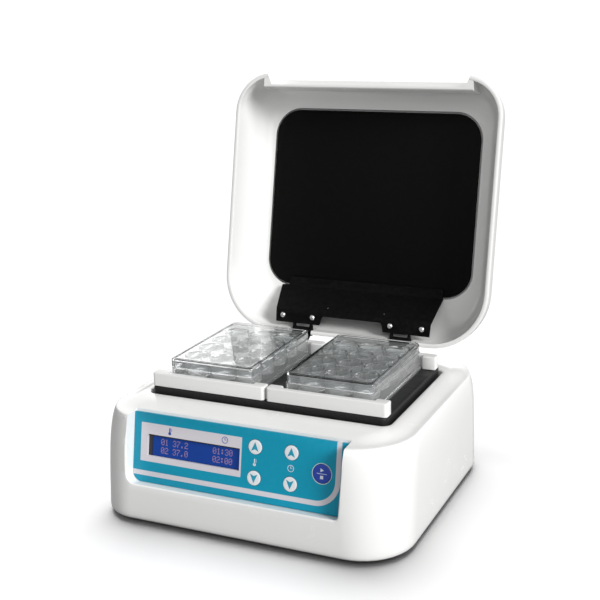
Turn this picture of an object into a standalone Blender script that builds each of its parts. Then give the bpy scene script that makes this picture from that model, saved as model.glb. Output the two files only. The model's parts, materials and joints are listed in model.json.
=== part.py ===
"""Heated orbital shaker for two microplates, with a hinged heated lid.

Units are metres and +Z is up. The bench is z = 0 and the control panel faces -Y. The lid is
drawn shut, in a frame on its hinge axis, and that frame is then turned to hold it open. At the
end everything is shifted along Y, so that the origin is the centre of the object's footprint.
"""
import math

import bmesh
import bpy
from mathutils import Vector

# ---------------------------------------------------------------- driving sizes, metres
GAP = 0.0003                 # clearance between pieces that touch
SMOOTH_ANGLE = 34.0          # degrees: edges sharper than this stay crisp

# Microplates and their covers
PLATE_WIDTH = 0.08548        # standard footprint
PLATE_LENGTH = 0.12776
PLATE_HEIGHT = 0.0234
PLATE_CORNER = 0.0032
PLATE_FLANGE = 0.0026        # height of the wide foot of the plate
PLATE_STEP = 0.0014          # how far the plate's wall stands in from its foot
WELL_COLUMNS = 3
WELL_ROWS = 4
WELL_PITCH = 0.026
WELL_RADIUS = 0.011
WELL_DEPTH = 0.0185
COVER_WALL = 0.0013
COVER_FIT = 0.0005           # slack between a cover and its plate
COVER_HEIGHT = 0.0080
COVER_TOP = 0.0014
PLATE_LIFT = 0.080

# Platform
PLATE_MARGIN = 0.0142        # from a plate's long side to the end of its rails
RAIL_BREAK = 0.0020          # gap between the left and the right rails
RAIL_THICKNESS = 0.0060
RAIL_HEIGHT = 0.0125
RAIL_SLACK = 0.0008          # between a plate's end and its rail
RAIL_RETURN = 0.0050         # how far a rail's ends come round the plate's corners
RAIL_CORNER = 0.0030
PLATE_ROW_Y = -0.0013        # the row of plates stands slightly forward
SLAB_BORDER = 0.0022         # slab outside the rails, front and rear
SLAB_THICKNESS = 0.0120
SLAB_CORNER = 0.0050
SLAB_PROUD = 0.0050          # slab above the housing's opening
ORBIT_RADIUS = 0.0015
ORBIT_GAP = 0.0017           # left between slab and housing at the end of its swing

# Housing
SIDE_LEDGE = 0.0230          # top surface beside the opening
FRONT_LEDGE = 0.0478         # top surface before and behind the opening
SIDE_FLARE = 0.0042          # how far the walls spread from the upper edge to the foot
FRONT_FLARE = 0.0078
RIM_HEIGHT = 0.0030          # lower rim above the bench
WALL_HEIGHT = 0.0955         # from the lower rim to the upper edge
TOP_RISE = 0.0050            # from the upper edge to the opening
WALL = 0.0028
FOOT_CORNER = 0.042
EDGE_CORNER = 0.052
SKIRT_DEPTH = 0.0145         # collar that hangs round the opening

# Control panel, in its own leaning plane
PANEL_LEAN = 10.2            # degrees from upright
PANEL_SETBACK = 0.0110       # lower edge of the panel behind the housing's foot
PANEL_DROP = 0.0003          # upper edge of the panel below the housing's upper edge
PANEL_LEFT = -0.1098
PANEL_RIGHT = 0.1018
PANEL_SLANT = 0.0090         # how far the right edge runs in towards the foot
PANEL_HEIGHT = 0.0632
PANEL_CORNER = 0.0090
PANEL_THICKNESS = 0.0025
KEY_RADIUS = 0.0063
START_RADIUS = 0.0080
KEY_PROUD = 0.0004
KEY_TRAVEL = 0.0005
KEY_FLANGE = 0.0011
TEMP_X = 0.0104
TIME_X = 0.0443
START_X = 0.0728
KEY_MID = 0.0345             # height of the start key above the panel's lower edge
KEY_SPREAD = 0.0135          # arrow keys above and below it
DISPLAY_X = -0.0492
DISPLAY_Z = 0.0348
WINDOW_WIDTH = 0.0880
WINDOW_HEIGHT = 0.0195
MODULE_BORDER = 0.0060       # display module outside its window

# Lid
LID_DEPTH = 0.0525           # outside, from rim to crown
LID_OVERHANG = 0.0035        # lid's rim outside the housing's upper edge, at the sides
LID_FRONT_REACH = 0.0058     # lid's front rim beyond the housing's foot
LID_REAR_INSET = 0.0008      # lid's rear rim inside the housing's foot
LID_CORNER_REAR = 0.0570
LID_CORNER_FRONT = 0.0400
LID_RIM = 0.0042             # thickness of the rim
LID_GAP = 0.0010             # rim above the housing's edge when shut
LID_OPEN = 102.0             # degrees
HINGE_RISE = 0.0095          # axis above the lid's rim
HINGE_INSET = 0.0020         # axis inside the lid's outer rear face
HEATER_WIDTH = 0.2260
HEATER_LENGTH = 0.1870
HEATER_CORNER = 0.0270
HEATER_THICKNESS = 0.0020
CROWN_WALL = 0.0035          # lid's wall behind the insulation
HEATER_SEAT = 0.0071         # heater's face in front of the bottom of its pocket
HEATER_FIT = 0.0020          # slack round the plate in its pocket
COVE_STEP = 0.0013           # the plate stands this far proud of the cove
HEATER_Y = -0.0104           # the plate sits nearer the lid's front
GRIP_HALF = 0.1040           # half length of the finger grip
GRIP_SLOPE = 0.0055
GRIP_STEP = 0.0116
GRIP_HEIGHT = 0.0270
GRIP_WALL = 0.0030

# Hinge
HINGE_X = 0.0540             # centre of each hinge
HINGE_WIDTH = 0.0160
BARREL_RADIUS = 0.0050
PIN_RADIUS = 0.0022
EAR_THICKNESS = 0.0022
SHEET = 0.0020               # folded steel of the bracket
BRACKET_HALF = 0.0950
LEG_INNER = 0.0330
LEG_LENGTH = 0.0125
BRACKET_SCREW_X = (-0.0767, -0.0430, 0.0430, 0.0767)
SCREW_RADIUS = 0.0029

# Drive
PAN_RISE = 0.0030            # pan's underside above the rim
PAN_THICKNESS = 0.0020
PAN_UPSTAND = 0.0080
FOOT_RADIUS = 0.0105
FOOT_INSET = 0.0300
CARRIER_THICKNESS = 0.0050
HUB_RADIUS = 0.0140
HUB_LENGTH = 0.0165
PLATFORM_BEARING = 0.0105    # outer radius
CRANK_PIN = 0.0040
SHAFT_RADIUS = 0.0050
WEB_RADIUS = 0.0240
WEB_THICKNESS = 0.0035
WEIGHT_INNER = 0.0175
WEIGHT_HEIGHT = 0.0055
PULLEY_HEIGHT = 0.0080
CRANK_PULLEY = 0.0220
MOTOR_PULLEY = 0.0090
FLANGE_HEIGHT = 0.0030
FRAME_THICKNESS = 0.0040
MOTOR_X = 0.0700
MOTOR_RADIUS = 0.0210
BELT_THICKNESS = 0.0014
IDLER_PLACES = ((-0.090, 0.046), (0.090, 0.046), (0.0, -0.056))
IDLER_JOURNAL = 0.0040
IDLER_PIN = 0.0030
IDLER_WEB = 0.0090
IDLER_WEB_HEIGHT = 0.0040
BOSS_RADIUS = 0.0080

# Rear connectors and electronics
REAR_PAD_Z = 0.0400
REAR_PAD_HALF_X = 0.0400
REAR_PAD_HALF_Z = 0.0190
REAR_PAD_X = 0.0600
REAR_PAD_DEPTH = 0.0050
INLET_X = 0.0440
SWITCH_X = 0.0820
ROCKER_TILT = 9.0            # degrees
VENT_COUNT = 7
VENT_PITCH = 0.0075
VENT_WIDTH = 0.0030
VENT_HEIGHT = 0.0280
VENT_X = -0.0500

# ---------------------------------------------------------------- sizes that follow
RAIL_LENGTH = PLATE_WIDTH + 2 * PLATE_MARGIN - RAIL_BREAK / 2
PLATE_X = RAIL_BREAK / 2 + RAIL_LENGTH / 2
RAIL_FACE = PLATE_LENGTH / 2 + RAIL_SLACK + RAIL_THICKNESS
SLAB_HALF_X = RAIL_BREAK / 2 + RAIL_LENGTH
SLAB_HALF_Y = RAIL_FACE + SLAB_BORDER + abs(PLATE_ROW_Y) / 2
OPENING_HALF_X = SLAB_HALF_X + ORBIT_RADIUS + ORBIT_GAP
OPENING_HALF_Y = SLAB_HALF_Y + ORBIT_RADIUS + ORBIT_GAP
EDGE_HALF_X = OPENING_HALF_X + SIDE_LEDGE
EDGE_HALF_Y = OPENING_HALF_Y + FRONT_LEDGE
FOOT_HALF_X = EDGE_HALF_X + SIDE_FLARE
FOOT_HALF_Y = EDGE_HALF_Y + FRONT_FLARE
EDGE_Z = RIM_HEIGHT + WALL_HEIGHT
OPENING_Z = EDGE_Z + TOP_RISE
SLAB_TOP = OPENING_Z + SLAB_PROUD
CARRIER_TOP = SLAB_TOP - SLAB_THICKNESS - GAP
CARRIER_FOOT = CARRIER_TOP - CARRIER_THICKNESS
HUB_FOOT = CARRIER_FOOT - HUB_LENGTH
WEB_TOP = HUB_FOOT - 0.0010
WEB_FOOT = WEB_TOP - WEB_THICKNESS
PULLEY_TOP = WEB_FOOT - 0.0010
PULLEY_FOOT = PULLEY_TOP - PULLEY_HEIGHT
FLANGE_TOP = PULLEY_FOOT - 0.0010
FRAME_TOP = FLANGE_TOP - FLANGE_HEIGHT - GAP
FRAME_FOOT = FRAME_TOP - FRAME_THICKNESS
PAN_FOOT = RIM_HEIGHT + PAN_RISE
PAN_TOP = PAN_FOOT + PAN_THICKNESS
PANEL_FOOT = EDGE_Z - PANEL_DROP - PANEL_HEIGHT * math.cos(math.radians(PANEL_LEAN))
POCKET_DEPTH = LID_DEPTH - CROWN_WALL
HEATER_DEPTH = POCKET_DEPTH - HEATER_SEAT
LID_RIM_Z = EDGE_Z + LID_GAP
LID_HALF_X = EDGE_HALF_X + LID_OVERHANG
LID_REAR_Y = FOOT_HALF_Y - LID_REAR_INSET
LID_FRONT_Y = -FOOT_HALF_Y - LID_FRONT_REACH
LID_HALF_Y = (LID_REAR_Y - LID_FRONT_Y) / 2
LID_MID_Y = (LID_REAR_Y + LID_FRONT_Y) / 2
HINGE_Y = LID_REAR_Y - HINGE_INSET
HINGE_Z = LID_RIM_Z + HINGE_RISE
REAR_PAD_Y = FOOT_HALF_Y - FRONT_FLARE * 0.40 - 0.0030


# ---------------------------------------------------------------- materials
def finish(name, colour, roughness, metallic=0.0, alpha=1.0):
    """A Principled material."""
    material = bpy.data.materials.new(name)
    material.use_nodes = True
    shader = material.node_tree.nodes["Principled BSDF"]
    shader.inputs["Base Color"].default_value = (*colour, 1.0)
    shader.inputs["Roughness"].default_value = roughness
    shader.inputs["Metallic"].default_value = metallic
    shader.inputs["Alpha"].default_value = alpha
    return material


def make_finishes():
    """Every finish of the shaker, by name."""
    return {
        "white_shell": finish("white_shell", (0.86, 0.86, 0.85), 0.28),
        "rail_white": finish("rail_white", (0.82, 0.82, 0.81), 0.40),
        "black_anodised": finish("black_anodised", (0.012, 0.012, 0.013), 0.45, 0.6),
        "black_enamel": finish("black_enamel", (0.010, 0.009, 0.009), 0.38),
        "black_plastic": finish("black_plastic", (0.020, 0.020, 0.022), 0.50),
        "teal_film": finish("teal_film", (0.020, 0.290, 0.390), 0.35),
        "display_blue": finish("display_blue", (0.010, 0.050, 0.300), 0.15),
        "key_white": finish("key_white", (0.80, 0.82, 0.84), 0.40),
        "key_blue": finish("key_blue", (0.012, 0.050, 0.350), 0.40),
        "clear_styrene": finish("clear_styrene", (0.90, 0.92, 0.93), 0.05, 0.0, 0.3),
        "rubber": finish("rubber", (0.025, 0.025, 0.025), 0.80),
        "steel": finish("steel", (0.56, 0.56, 0.57), 0.30, 1.0),
        "aluminium": finish("aluminium", (0.70, 0.71, 0.72), 0.35, 1.0),
        "zinc_plate": finish("zinc_plate", (0.55, 0.56, 0.58), 0.40, 1.0),
        "circuit_green": finish("circuit_green", (0.015, 0.120, 0.050), 0.45),
        "foam": finish("foam", (0.25, 0.25, 0.26), 0.95),
    }


# ---------------------------------------------------------------- building blocks
def rounded_outline(half_x, half_y, radius, steps, centre_x=0.0, centre_y=0.0, front_radius=None):
    """A rounded rectangle, counter-clockwise, with steps + 1 points at each corner."""
    points = []
    signs = ((1, 1), (-1, 1), (-1, -1), (1, -1))
    for corner, (sign_x, sign_y) in enumerate(signs):
        bend = radius if sign_y > 0 or front_radius is None else front_radius
        for step in range(steps + 1):
            angle = (corner + step / steps) * math.pi / 2
            x = sign_x * (half_x - bend) + bend * math.cos(angle)
            y = sign_y * (half_y - bend) + bend * math.sin(angle)
            points.append((centre_x + x, centre_y + y))
    return points


def circle_outline(radius, segments, centre_x=0.0, centre_y=0.0):
    """A circle as a counter-clockwise polygon."""
    points = []
    for index in range(segments):
        angle = 2 * math.pi * index / segments
        points.append((centre_x + radius * math.cos(angle), centre_y + radius * math.sin(angle)))
    return points


def at_height(outline, z):
    """An outline in XY, lifted to a height."""
    return [(x, y, z) for x, y in outline]


def add_object(name, mesh, material, parent):
    """A named object from a bmesh, shaded smooth except at crisp edges."""
    data = bpy.data.meshes.new(name)
    mesh.to_mesh(data)
    mesh.free()
    data.shade_smooth()
    data.set_sharp_from_angle(angle=math.radians(SMOOTH_ANGLE))
    if material is not None:
        data.materials.append(material)
    item = bpy.data.objects.new(name, data)
    bpy.context.scene.collection.objects.link(item)
    item.parent = parent
    return item


def add_rings(mesh, rings, closed):
    """Skin matching rings of points. A closed stack is a tube, an open one gets two caps."""
    loops = []
    for ring in rings:
        loops.append([mesh.verts.new(point) for point in ring])
    count = len(loops[0])
    pairs = list(zip(loops, loops[1:]))
    if closed:
        pairs.append((loops[-1], loops[0]))
    for lower, upper in pairs:
        for index in range(count):
            after = (index + 1) % count
            mesh.faces.new((lower[index], lower[after], upper[after], upper[index]))
    if not closed:
        mesh.faces.new(list(reversed(loops[0])))
        mesh.faces.new(loops[-1])


def skin(name, stacks, material, parent, closed=False):
    """An object skinned from one or more stacks of rings."""
    mesh = bmesh.new()
    for rings in stacks:
        add_rings(mesh, rings, closed)
    bmesh.ops.recalc_face_normals(mesh, faces=mesh.faces)
    return add_object(name, mesh, material, parent)


def turned(name, profile, segments, material, parent, closed=False):
    """A round piece from (radius, z) pairs, listed up the outside."""
    rings = [at_height(circle_outline(radius, segments), z) for radius, z in profile]
    return skin(name, [rings], material, parent, closed)


def slab(name, outline, low, high, material, parent):
    """An outline in XY drawn out from one height to another."""
    return skin(name, [[at_height(outline, low), at_height(outline, high)]], material, parent)


def soft_block(name, half_x, half_y, radius, low, high, edge, material, parent, steps=3):
    """A block with rounded uprights, and with its top and bottom edges taken off."""
    levels = ((edge, low), (0.0, low + edge), (0.0, high - edge), (edge, high))
    rings = []
    for inset, z in levels:
        outline = rounded_outline(half_x - inset, half_y - inset, radius - inset, steps)
        rings.append(at_height(outline, z))
    return skin(name, [rings], material, parent)


def bar(name, outline, left, right, material, parent):
    """An outline in YZ drawn out along X."""
    rings = [[(x, y, z) for y, z in outline] for x in (left, right)]
    return skin(name, [rings], material, parent)


def axis_frame(name, location, tilt, parent):
    """An empty on an axis or in a plane, turned about X by tilt degrees."""
    empty = bpy.data.objects.new(name, None)
    bpy.context.scene.collection.objects.link(empty)
    empty.parent = parent
    empty.location = location
    empty.rotation_euler = (math.radians(tilt), 0.0, 0.0)
    return empty


def combine(target, tool, operation):
    """A Boolean of a hidden tool on a piece."""
    tool.hide_render = True
    tool.display_type = "WIRE"
    modifier = target.modifiers.new(operation.lower() + "_" + tool.name, "BOOLEAN")
    modifier.operation = operation
    modifier.object = tool
    modifier.solver = "EXACT"


def join_solid(target, tool):
    combine(target, tool, "UNION")


def cut_away(target, tool):
    combine(target, tool, "DIFFERENCE")


# ---------------------------------------------------------------- housing
def blend(start, end, share):
    return start + (end - start) * share


def housing_rings():
    """Sections of the housing: up the outside, over the top, down the collar and back inside."""
    steps = 5
    rings = []

    def ring(half_x, half_y, radius, z):
        rings.append(at_height(rounded_outline(half_x, half_y, radius, steps), z))

    # The wall bows slightly outwards between foot and edge.
    for share, flare in ((0.0, 0.94), (0.04, 1.0), (0.40, 0.88), (0.72, 0.60), (0.94, 0.18)):
        radius = blend(FOOT_CORNER, EDGE_CORNER, share)
        z = blend(RIM_HEIGHT, EDGE_Z, share)
        ring(EDGE_HALF_X + SIDE_FLARE * flare, EDGE_HALF_Y + FRONT_FLARE * flare, radius, z)
    ring(EDGE_HALF_X - 0.0014, EDGE_HALF_Y - 0.0014, EDGE_CORNER, EDGE_Z)
    corner_in = SLAB_CORNER + ORBIT_GAP + ORBIT_RADIUS
    for share, lift in ((0.18, 0.10), (0.50, 0.50), (0.82, 0.90), (0.96, 1.0)):
        half_x = blend(EDGE_HALF_X, OPENING_HALF_X, share)
        half_y = blend(EDGE_HALF_Y, OPENING_HALF_Y, share)
        ring(half_x, half_y, blend(EDGE_CORNER, corner_in, share), EDGE_Z + TOP_RISE * lift)
    ring(OPENING_HALF_X, OPENING_HALF_Y, corner_in, OPENING_Z - 0.0010)
    collar = WALL * 0.9
    ring(OPENING_HALF_X, OPENING_HALF_Y, corner_in, OPENING_Z - SKIRT_DEPTH)
    ring(OPENING_HALF_X + collar, OPENING_HALF_Y + collar, corner_in + collar, OPENING_Z - SKIRT_DEPTH)
    ring(OPENING_HALF_X + collar, OPENING_HALF_Y + collar, corner_in + collar, OPENING_Z - WALL)
    inner_corner = EDGE_CORNER - WALL
    ring(EDGE_HALF_X - 2 * WALL, EDGE_HALF_Y - 2 * WALL, inner_corner - WALL, EDGE_Z - WALL)
    for share, flare in ((0.94, 0.0), (0.72, 0.55), (0.04, 0.98), (0.0, 0.98)):
        radius = blend(FOOT_CORNER, EDGE_CORNER, share) - WALL
        half_x = EDGE_HALF_X + SIDE_FLARE * flare - WALL
        half_y = EDGE_HALF_Y + FRONT_FLARE * flare - WALL
        ring(half_x, half_y, radius, blend(RIM_HEIGHT, EDGE_Z, share))
    return rings


def panel_outline(inset, top):
    """The panel's outline in its own plane, as (x, height), with two round lower corners."""
    left = PANEL_LEFT + inset
    right = PANEL_RIGHT - inset
    slant = PANEL_SLANT / PANEL_HEIGHT
    low_right = right - PANEL_SLANT
    points = [(right + slant * (top - PANEL_HEIGHT), top), (left, top)]
    radius = PANEL_CORNER - inset
    steps = 4
    for step in range(steps + 1):
        angle = math.pi + step / steps * math.pi / 2
        points.append((left + radius + radius * math.cos(angle), inset + radius + radius * math.sin(angle)))
    small = radius * 0.5
    for step in range(steps + 1):
        angle = -math.pi / 2 + step / steps * math.pi / 2
        x = low_right - small + small * math.cos(angle)
        points.append((x, inset + small + small * math.sin(angle)))
    return points


def panel_prism(name, outline, front, back, material, parent):
    """An outline of the panel's plane, drawn out along its normal. Negative y is outwards."""
    rings = [[(x, y, z) for x, z in outline] for y in (back, front)]
    return skin(name, [rings], material, parent)


def box_outline(centre_x, centre_z, half_x, half_z, radius=0.0006, steps=1):
    return rounded_outline(half_x, half_z, radius, steps, centre_x, centre_z)


def make_housing(finishes, frame, panel_plane):
    shell = skin("upper_housing", [housing_rings()], finishes["white_shell"], frame, closed=True)
    floor_back = PANEL_THICKNESS + GAP + WALL

    # The wall behind the panel, then the recess that the panel lies in.
    lean = math.tan(math.radians(PANEL_LEAN))
    foot_y = -FOOT_HALF_Y + PANEL_SETBACK
    low = PANEL_FOOT - 0.0030
    high = EDGE_Z - 0.0012
    back_low = foot_y + (low - PANEL_FOOT) * lean + floor_back
    back_high = foot_y + (high - PANEL_FOOT) * lean + floor_back
    front_low = -FOOT_HALF_Y + FRONT_FLARE * 0.12 + WALL * 0.6
    front_high = -EDGE_HALF_Y + WALL * 0.6
    outline = ((front_low, low), (back_low, low), (back_high, high), (front_high, high))
    backing = bar("panel_backing", outline, PANEL_LEFT - WALL, PANEL_RIGHT + WALL, None, frame)
    join_solid(shell, backing)
    recess_outline = panel_outline(0.0, PANEL_HEIGHT + 0.020)
    recess = panel_prism("panel_recess", recess_outline, -0.040, PANEL_THICKNESS + GAP, None, panel_plane)
    cut_away(shell, recess)
    window_left = DISPLAY_X - WINDOW_WIDTH / 2 - MODULE_BORDER - 0.001
    window_right = START_X + START_RADIUS + 0.003
    window = panel_prism(
        "panel_window",
        box_outline(
            (window_left + window_right) / 2,
            KEY_MID,
            (window_right - window_left) / 2,
            KEY_SPREAD + KEY_RADIUS + 0.003,
        ),
        0.0, 0.020, None, panel_plane)
    cut_away(shell, window)

    # Seats for the hinge blocks.
    for side in (-1, 1):
        seat_y = HINGE_Y - 0.0145
        outline = rounded_outline(HINGE_WIDTH / 2 + 0.002, 0.0095, 0.001, 1, side * HINGE_X, seat_y)
        boss = slab("hinge_boss", outline, EDGE_Z - 0.0060, EDGE_Z - 0.0004, None, frame)
        join_solid(shell, boss)
        outline = rounded_outline(HINGE_WIDTH / 2 + GAP, 0.0078, 0.0002, 1, side * HINGE_X, seat_y)
        seat = slab("hinge_seat", outline, EDGE_Z - 0.0010, EDGE_Z + 0.020, None, frame)
        cut_away(shell, seat)

    # A flat pad at the rear for the inlet and the switch, and slots for air beside it.
    outline = rounded_outline(REAR_PAD_HALF_X + WALL, REAR_PAD_DEPTH, 0.001, 1,
                              REAR_PAD_X, REAR_PAD_Y - REAR_PAD_DEPTH + WALL * 0.4)
    low, high = REAR_PAD_Z - REAR_PAD_HALF_Z, REAR_PAD_Z + REAR_PAD_HALF_Z
    join_solid(shell, slab("rear_backing", outline, low - WALL, high + WALL, None, frame))
    outline = rounded_outline(REAR_PAD_HALF_X, 0.010, 0.003, 2, REAR_PAD_X, REAR_PAD_Y + 0.010)
    cut_away(shell, slab("rear_recess", outline, low, high, None, frame))
    for name, x, half_x, half_z in (("inlet_hole", INLET_X, 0.0140, 0.0102),
                                    ("switch_hole", SWITCH_X, 0.0100, 0.0066)):
        outline = rounded_outline(half_x, 0.015, 0.001, 1, x, REAR_PAD_Y)
        cut_away(shell, slab(name, outline, REAR_PAD_Z - half_z, REAR_PAD_Z + half_z, None, frame))
    stacks = []
    for index in range(VENT_COUNT):
        x = VENT_X + (index - (VENT_COUNT - 1) / 2) * VENT_PITCH
        outline = rounded_outline(VENT_WIDTH / 2, 0.015, 0.0005, 1, x, FOOT_HALF_Y)
        low, high = REAR_PAD_Z - VENT_HEIGHT / 2, REAR_PAD_Z + VENT_HEIGHT / 2
        stacks.append([at_height(outline, low), at_height(outline, high)])
    cut_away(shell, skin("vent_slots", stacks, None, frame))
    return shell


def make_pan_and_feet(finishes, frame):
    """The steel pan that closes the housing from below, and four rubber feet under it."""
    steps = 5
    flare = 0.88
    half_x = EDGE_HALF_X + SIDE_FLARE * flare - WALL - GAP
    half_y = EDGE_HALF_Y + FRONT_FLARE * flare - WALL - GAP
    share = (PAN_TOP + PAN_UPSTAND - RIM_HEIGHT) / WALL_HEIGHT
    radius = blend(FOOT_CORNER, EDGE_CORNER, share) - WALL
    lip = PAN_THICKNESS * 0.75
    levels = ((0.0, PAN_FOOT), (0.0, PAN_TOP + PAN_UPSTAND), (lip, PAN_TOP + PAN_UPSTAND), (lip, PAN_TOP))
    rings = []
    for inset, z in levels:
        outline = rounded_outline(half_x - inset, half_y - inset, radius - inset, steps)
        rings.append(at_height(outline, z))
    skin("base_pan", [rings], finishes["zinc_plate"], frame)
    names = {(-1, -1): "foot_front_left", (1, -1): "foot_front_right",
             (-1, 1): "foot_rear_left", (1, 1): "foot_rear_right"}
    for (side_x, side_y), name in names.items():
        profile = ((FOOT_RADIUS - 0.001, 0.0), (FOOT_RADIUS, 0.001), (FOOT_RADIUS - 0.001, PAN_FOOT - GAP))
        foot = turned(name, profile, 20, finishes["rubber"], frame)
        foot.location = (side_x * (FOOT_HALF_X - FOOT_INSET), side_y * (FOOT_HALF_Y - FOOT_INSET), 0.0)


# ---------------------------------------------------------------- control panel
def key_table():
    """Name, x, height, radius and finish of each key."""
    high, low = KEY_MID + KEY_SPREAD, KEY_MID - KEY_SPREAD
    return (
        ("key_temp_up", TEMP_X, high, KEY_RADIUS, "key_white"),
        ("key_temp_down", TEMP_X, low, KEY_RADIUS, "key_white"),
        ("key_time_up", TIME_X, high, KEY_RADIUS, "key_white"),
        ("key_time_down", TIME_X, low, KEY_RADIUS, "key_white"),
        ("key_start_stop", START_X, KEY_MID, START_RADIUS, "key_blue"),
    )


def key_stack(x, z, radius, levels):
    """Rings about a key's axis: (extra radius, y) pairs."""
    rings = []
    for extra, y in levels:
        rings.append([(px, y, pz) for px, pz in circle_outline(radius + extra, 20, x, z)])
    return rings


def make_panel(finishes, frame, panel_plane):
    fascia = panel_prism("control_panel", panel_outline(GAP, PANEL_HEIGHT), 0.0, PANEL_THICKNESS,
                         finishes["teal_film"], panel_plane)
    holes = [key_stack(x, z, radius + GAP, ((0.0, 0.005), (0.0, -0.005)))
             for _, x, z, radius, _ in key_table()]
    cut_away(fascia, skin("key_holes", holes, None, panel_plane))
    window = panel_prism("display_window",
                         box_outline(DISPLAY_X, DISPLAY_Z, WINDOW_WIDTH / 2, WINDOW_HEIGHT / 2),
                         -0.005, 0.005, None, panel_plane)
    cut_away(fascia, window)

    display_front = PANEL_THICKNESS + GAP
    display_back = display_front + 0.0055
    panel_prism("display",
                box_outline(DISPLAY_X, DISPLAY_Z, WINDOW_WIDTH / 2 + MODULE_BORDER,
                            WINDOW_HEIGHT / 2 + MODULE_BORDER * 0.8),
                display_front, display_back, finishes["display_blue"], panel_plane)

    for name, x, z, radius, colour in key_table():
        levels = ((KEY_FLANGE, PANEL_THICKNESS + GAP + 0.0010), (KEY_FLANGE, PANEL_THICKNESS + GAP),
                  (0.0, PANEL_THICKNESS + GAP), (0.0, -KEY_PROUD * 0.4), (-0.0005, -KEY_PROUD))
        key = skin(name, [key_stack(0.0, 0.0, radius, levels)], finishes[colour], panel_plane)
        key.location = (x, 0.0, z)

    # The board carries a stem under each key, and the display stands clear in front of it.
    board_front = display_back + GAP
    left = DISPLAY_X - WINDOW_WIDTH / 2 - MODULE_BORDER
    right = START_X + START_RADIUS + 0.001
    board = panel_prism("key_board",
                        box_outline((left + right) / 2, KEY_MID, (right - left) / 2, 0.0215),
                        board_front, board_front + 0.0016, finishes["circuit_green"], panel_plane)
    stem_front = PANEL_THICKNESS + GAP + 0.0010 + KEY_TRAVEL + GAP
    stems = [key_stack(x, z, 0.0030, ((0.0, board_front + 0.0008), (0.0, stem_front)))
             for _, x, z, _, _ in key_table()]
    join_solid(board, skin("switch_stems", stems, None, panel_plane))


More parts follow.
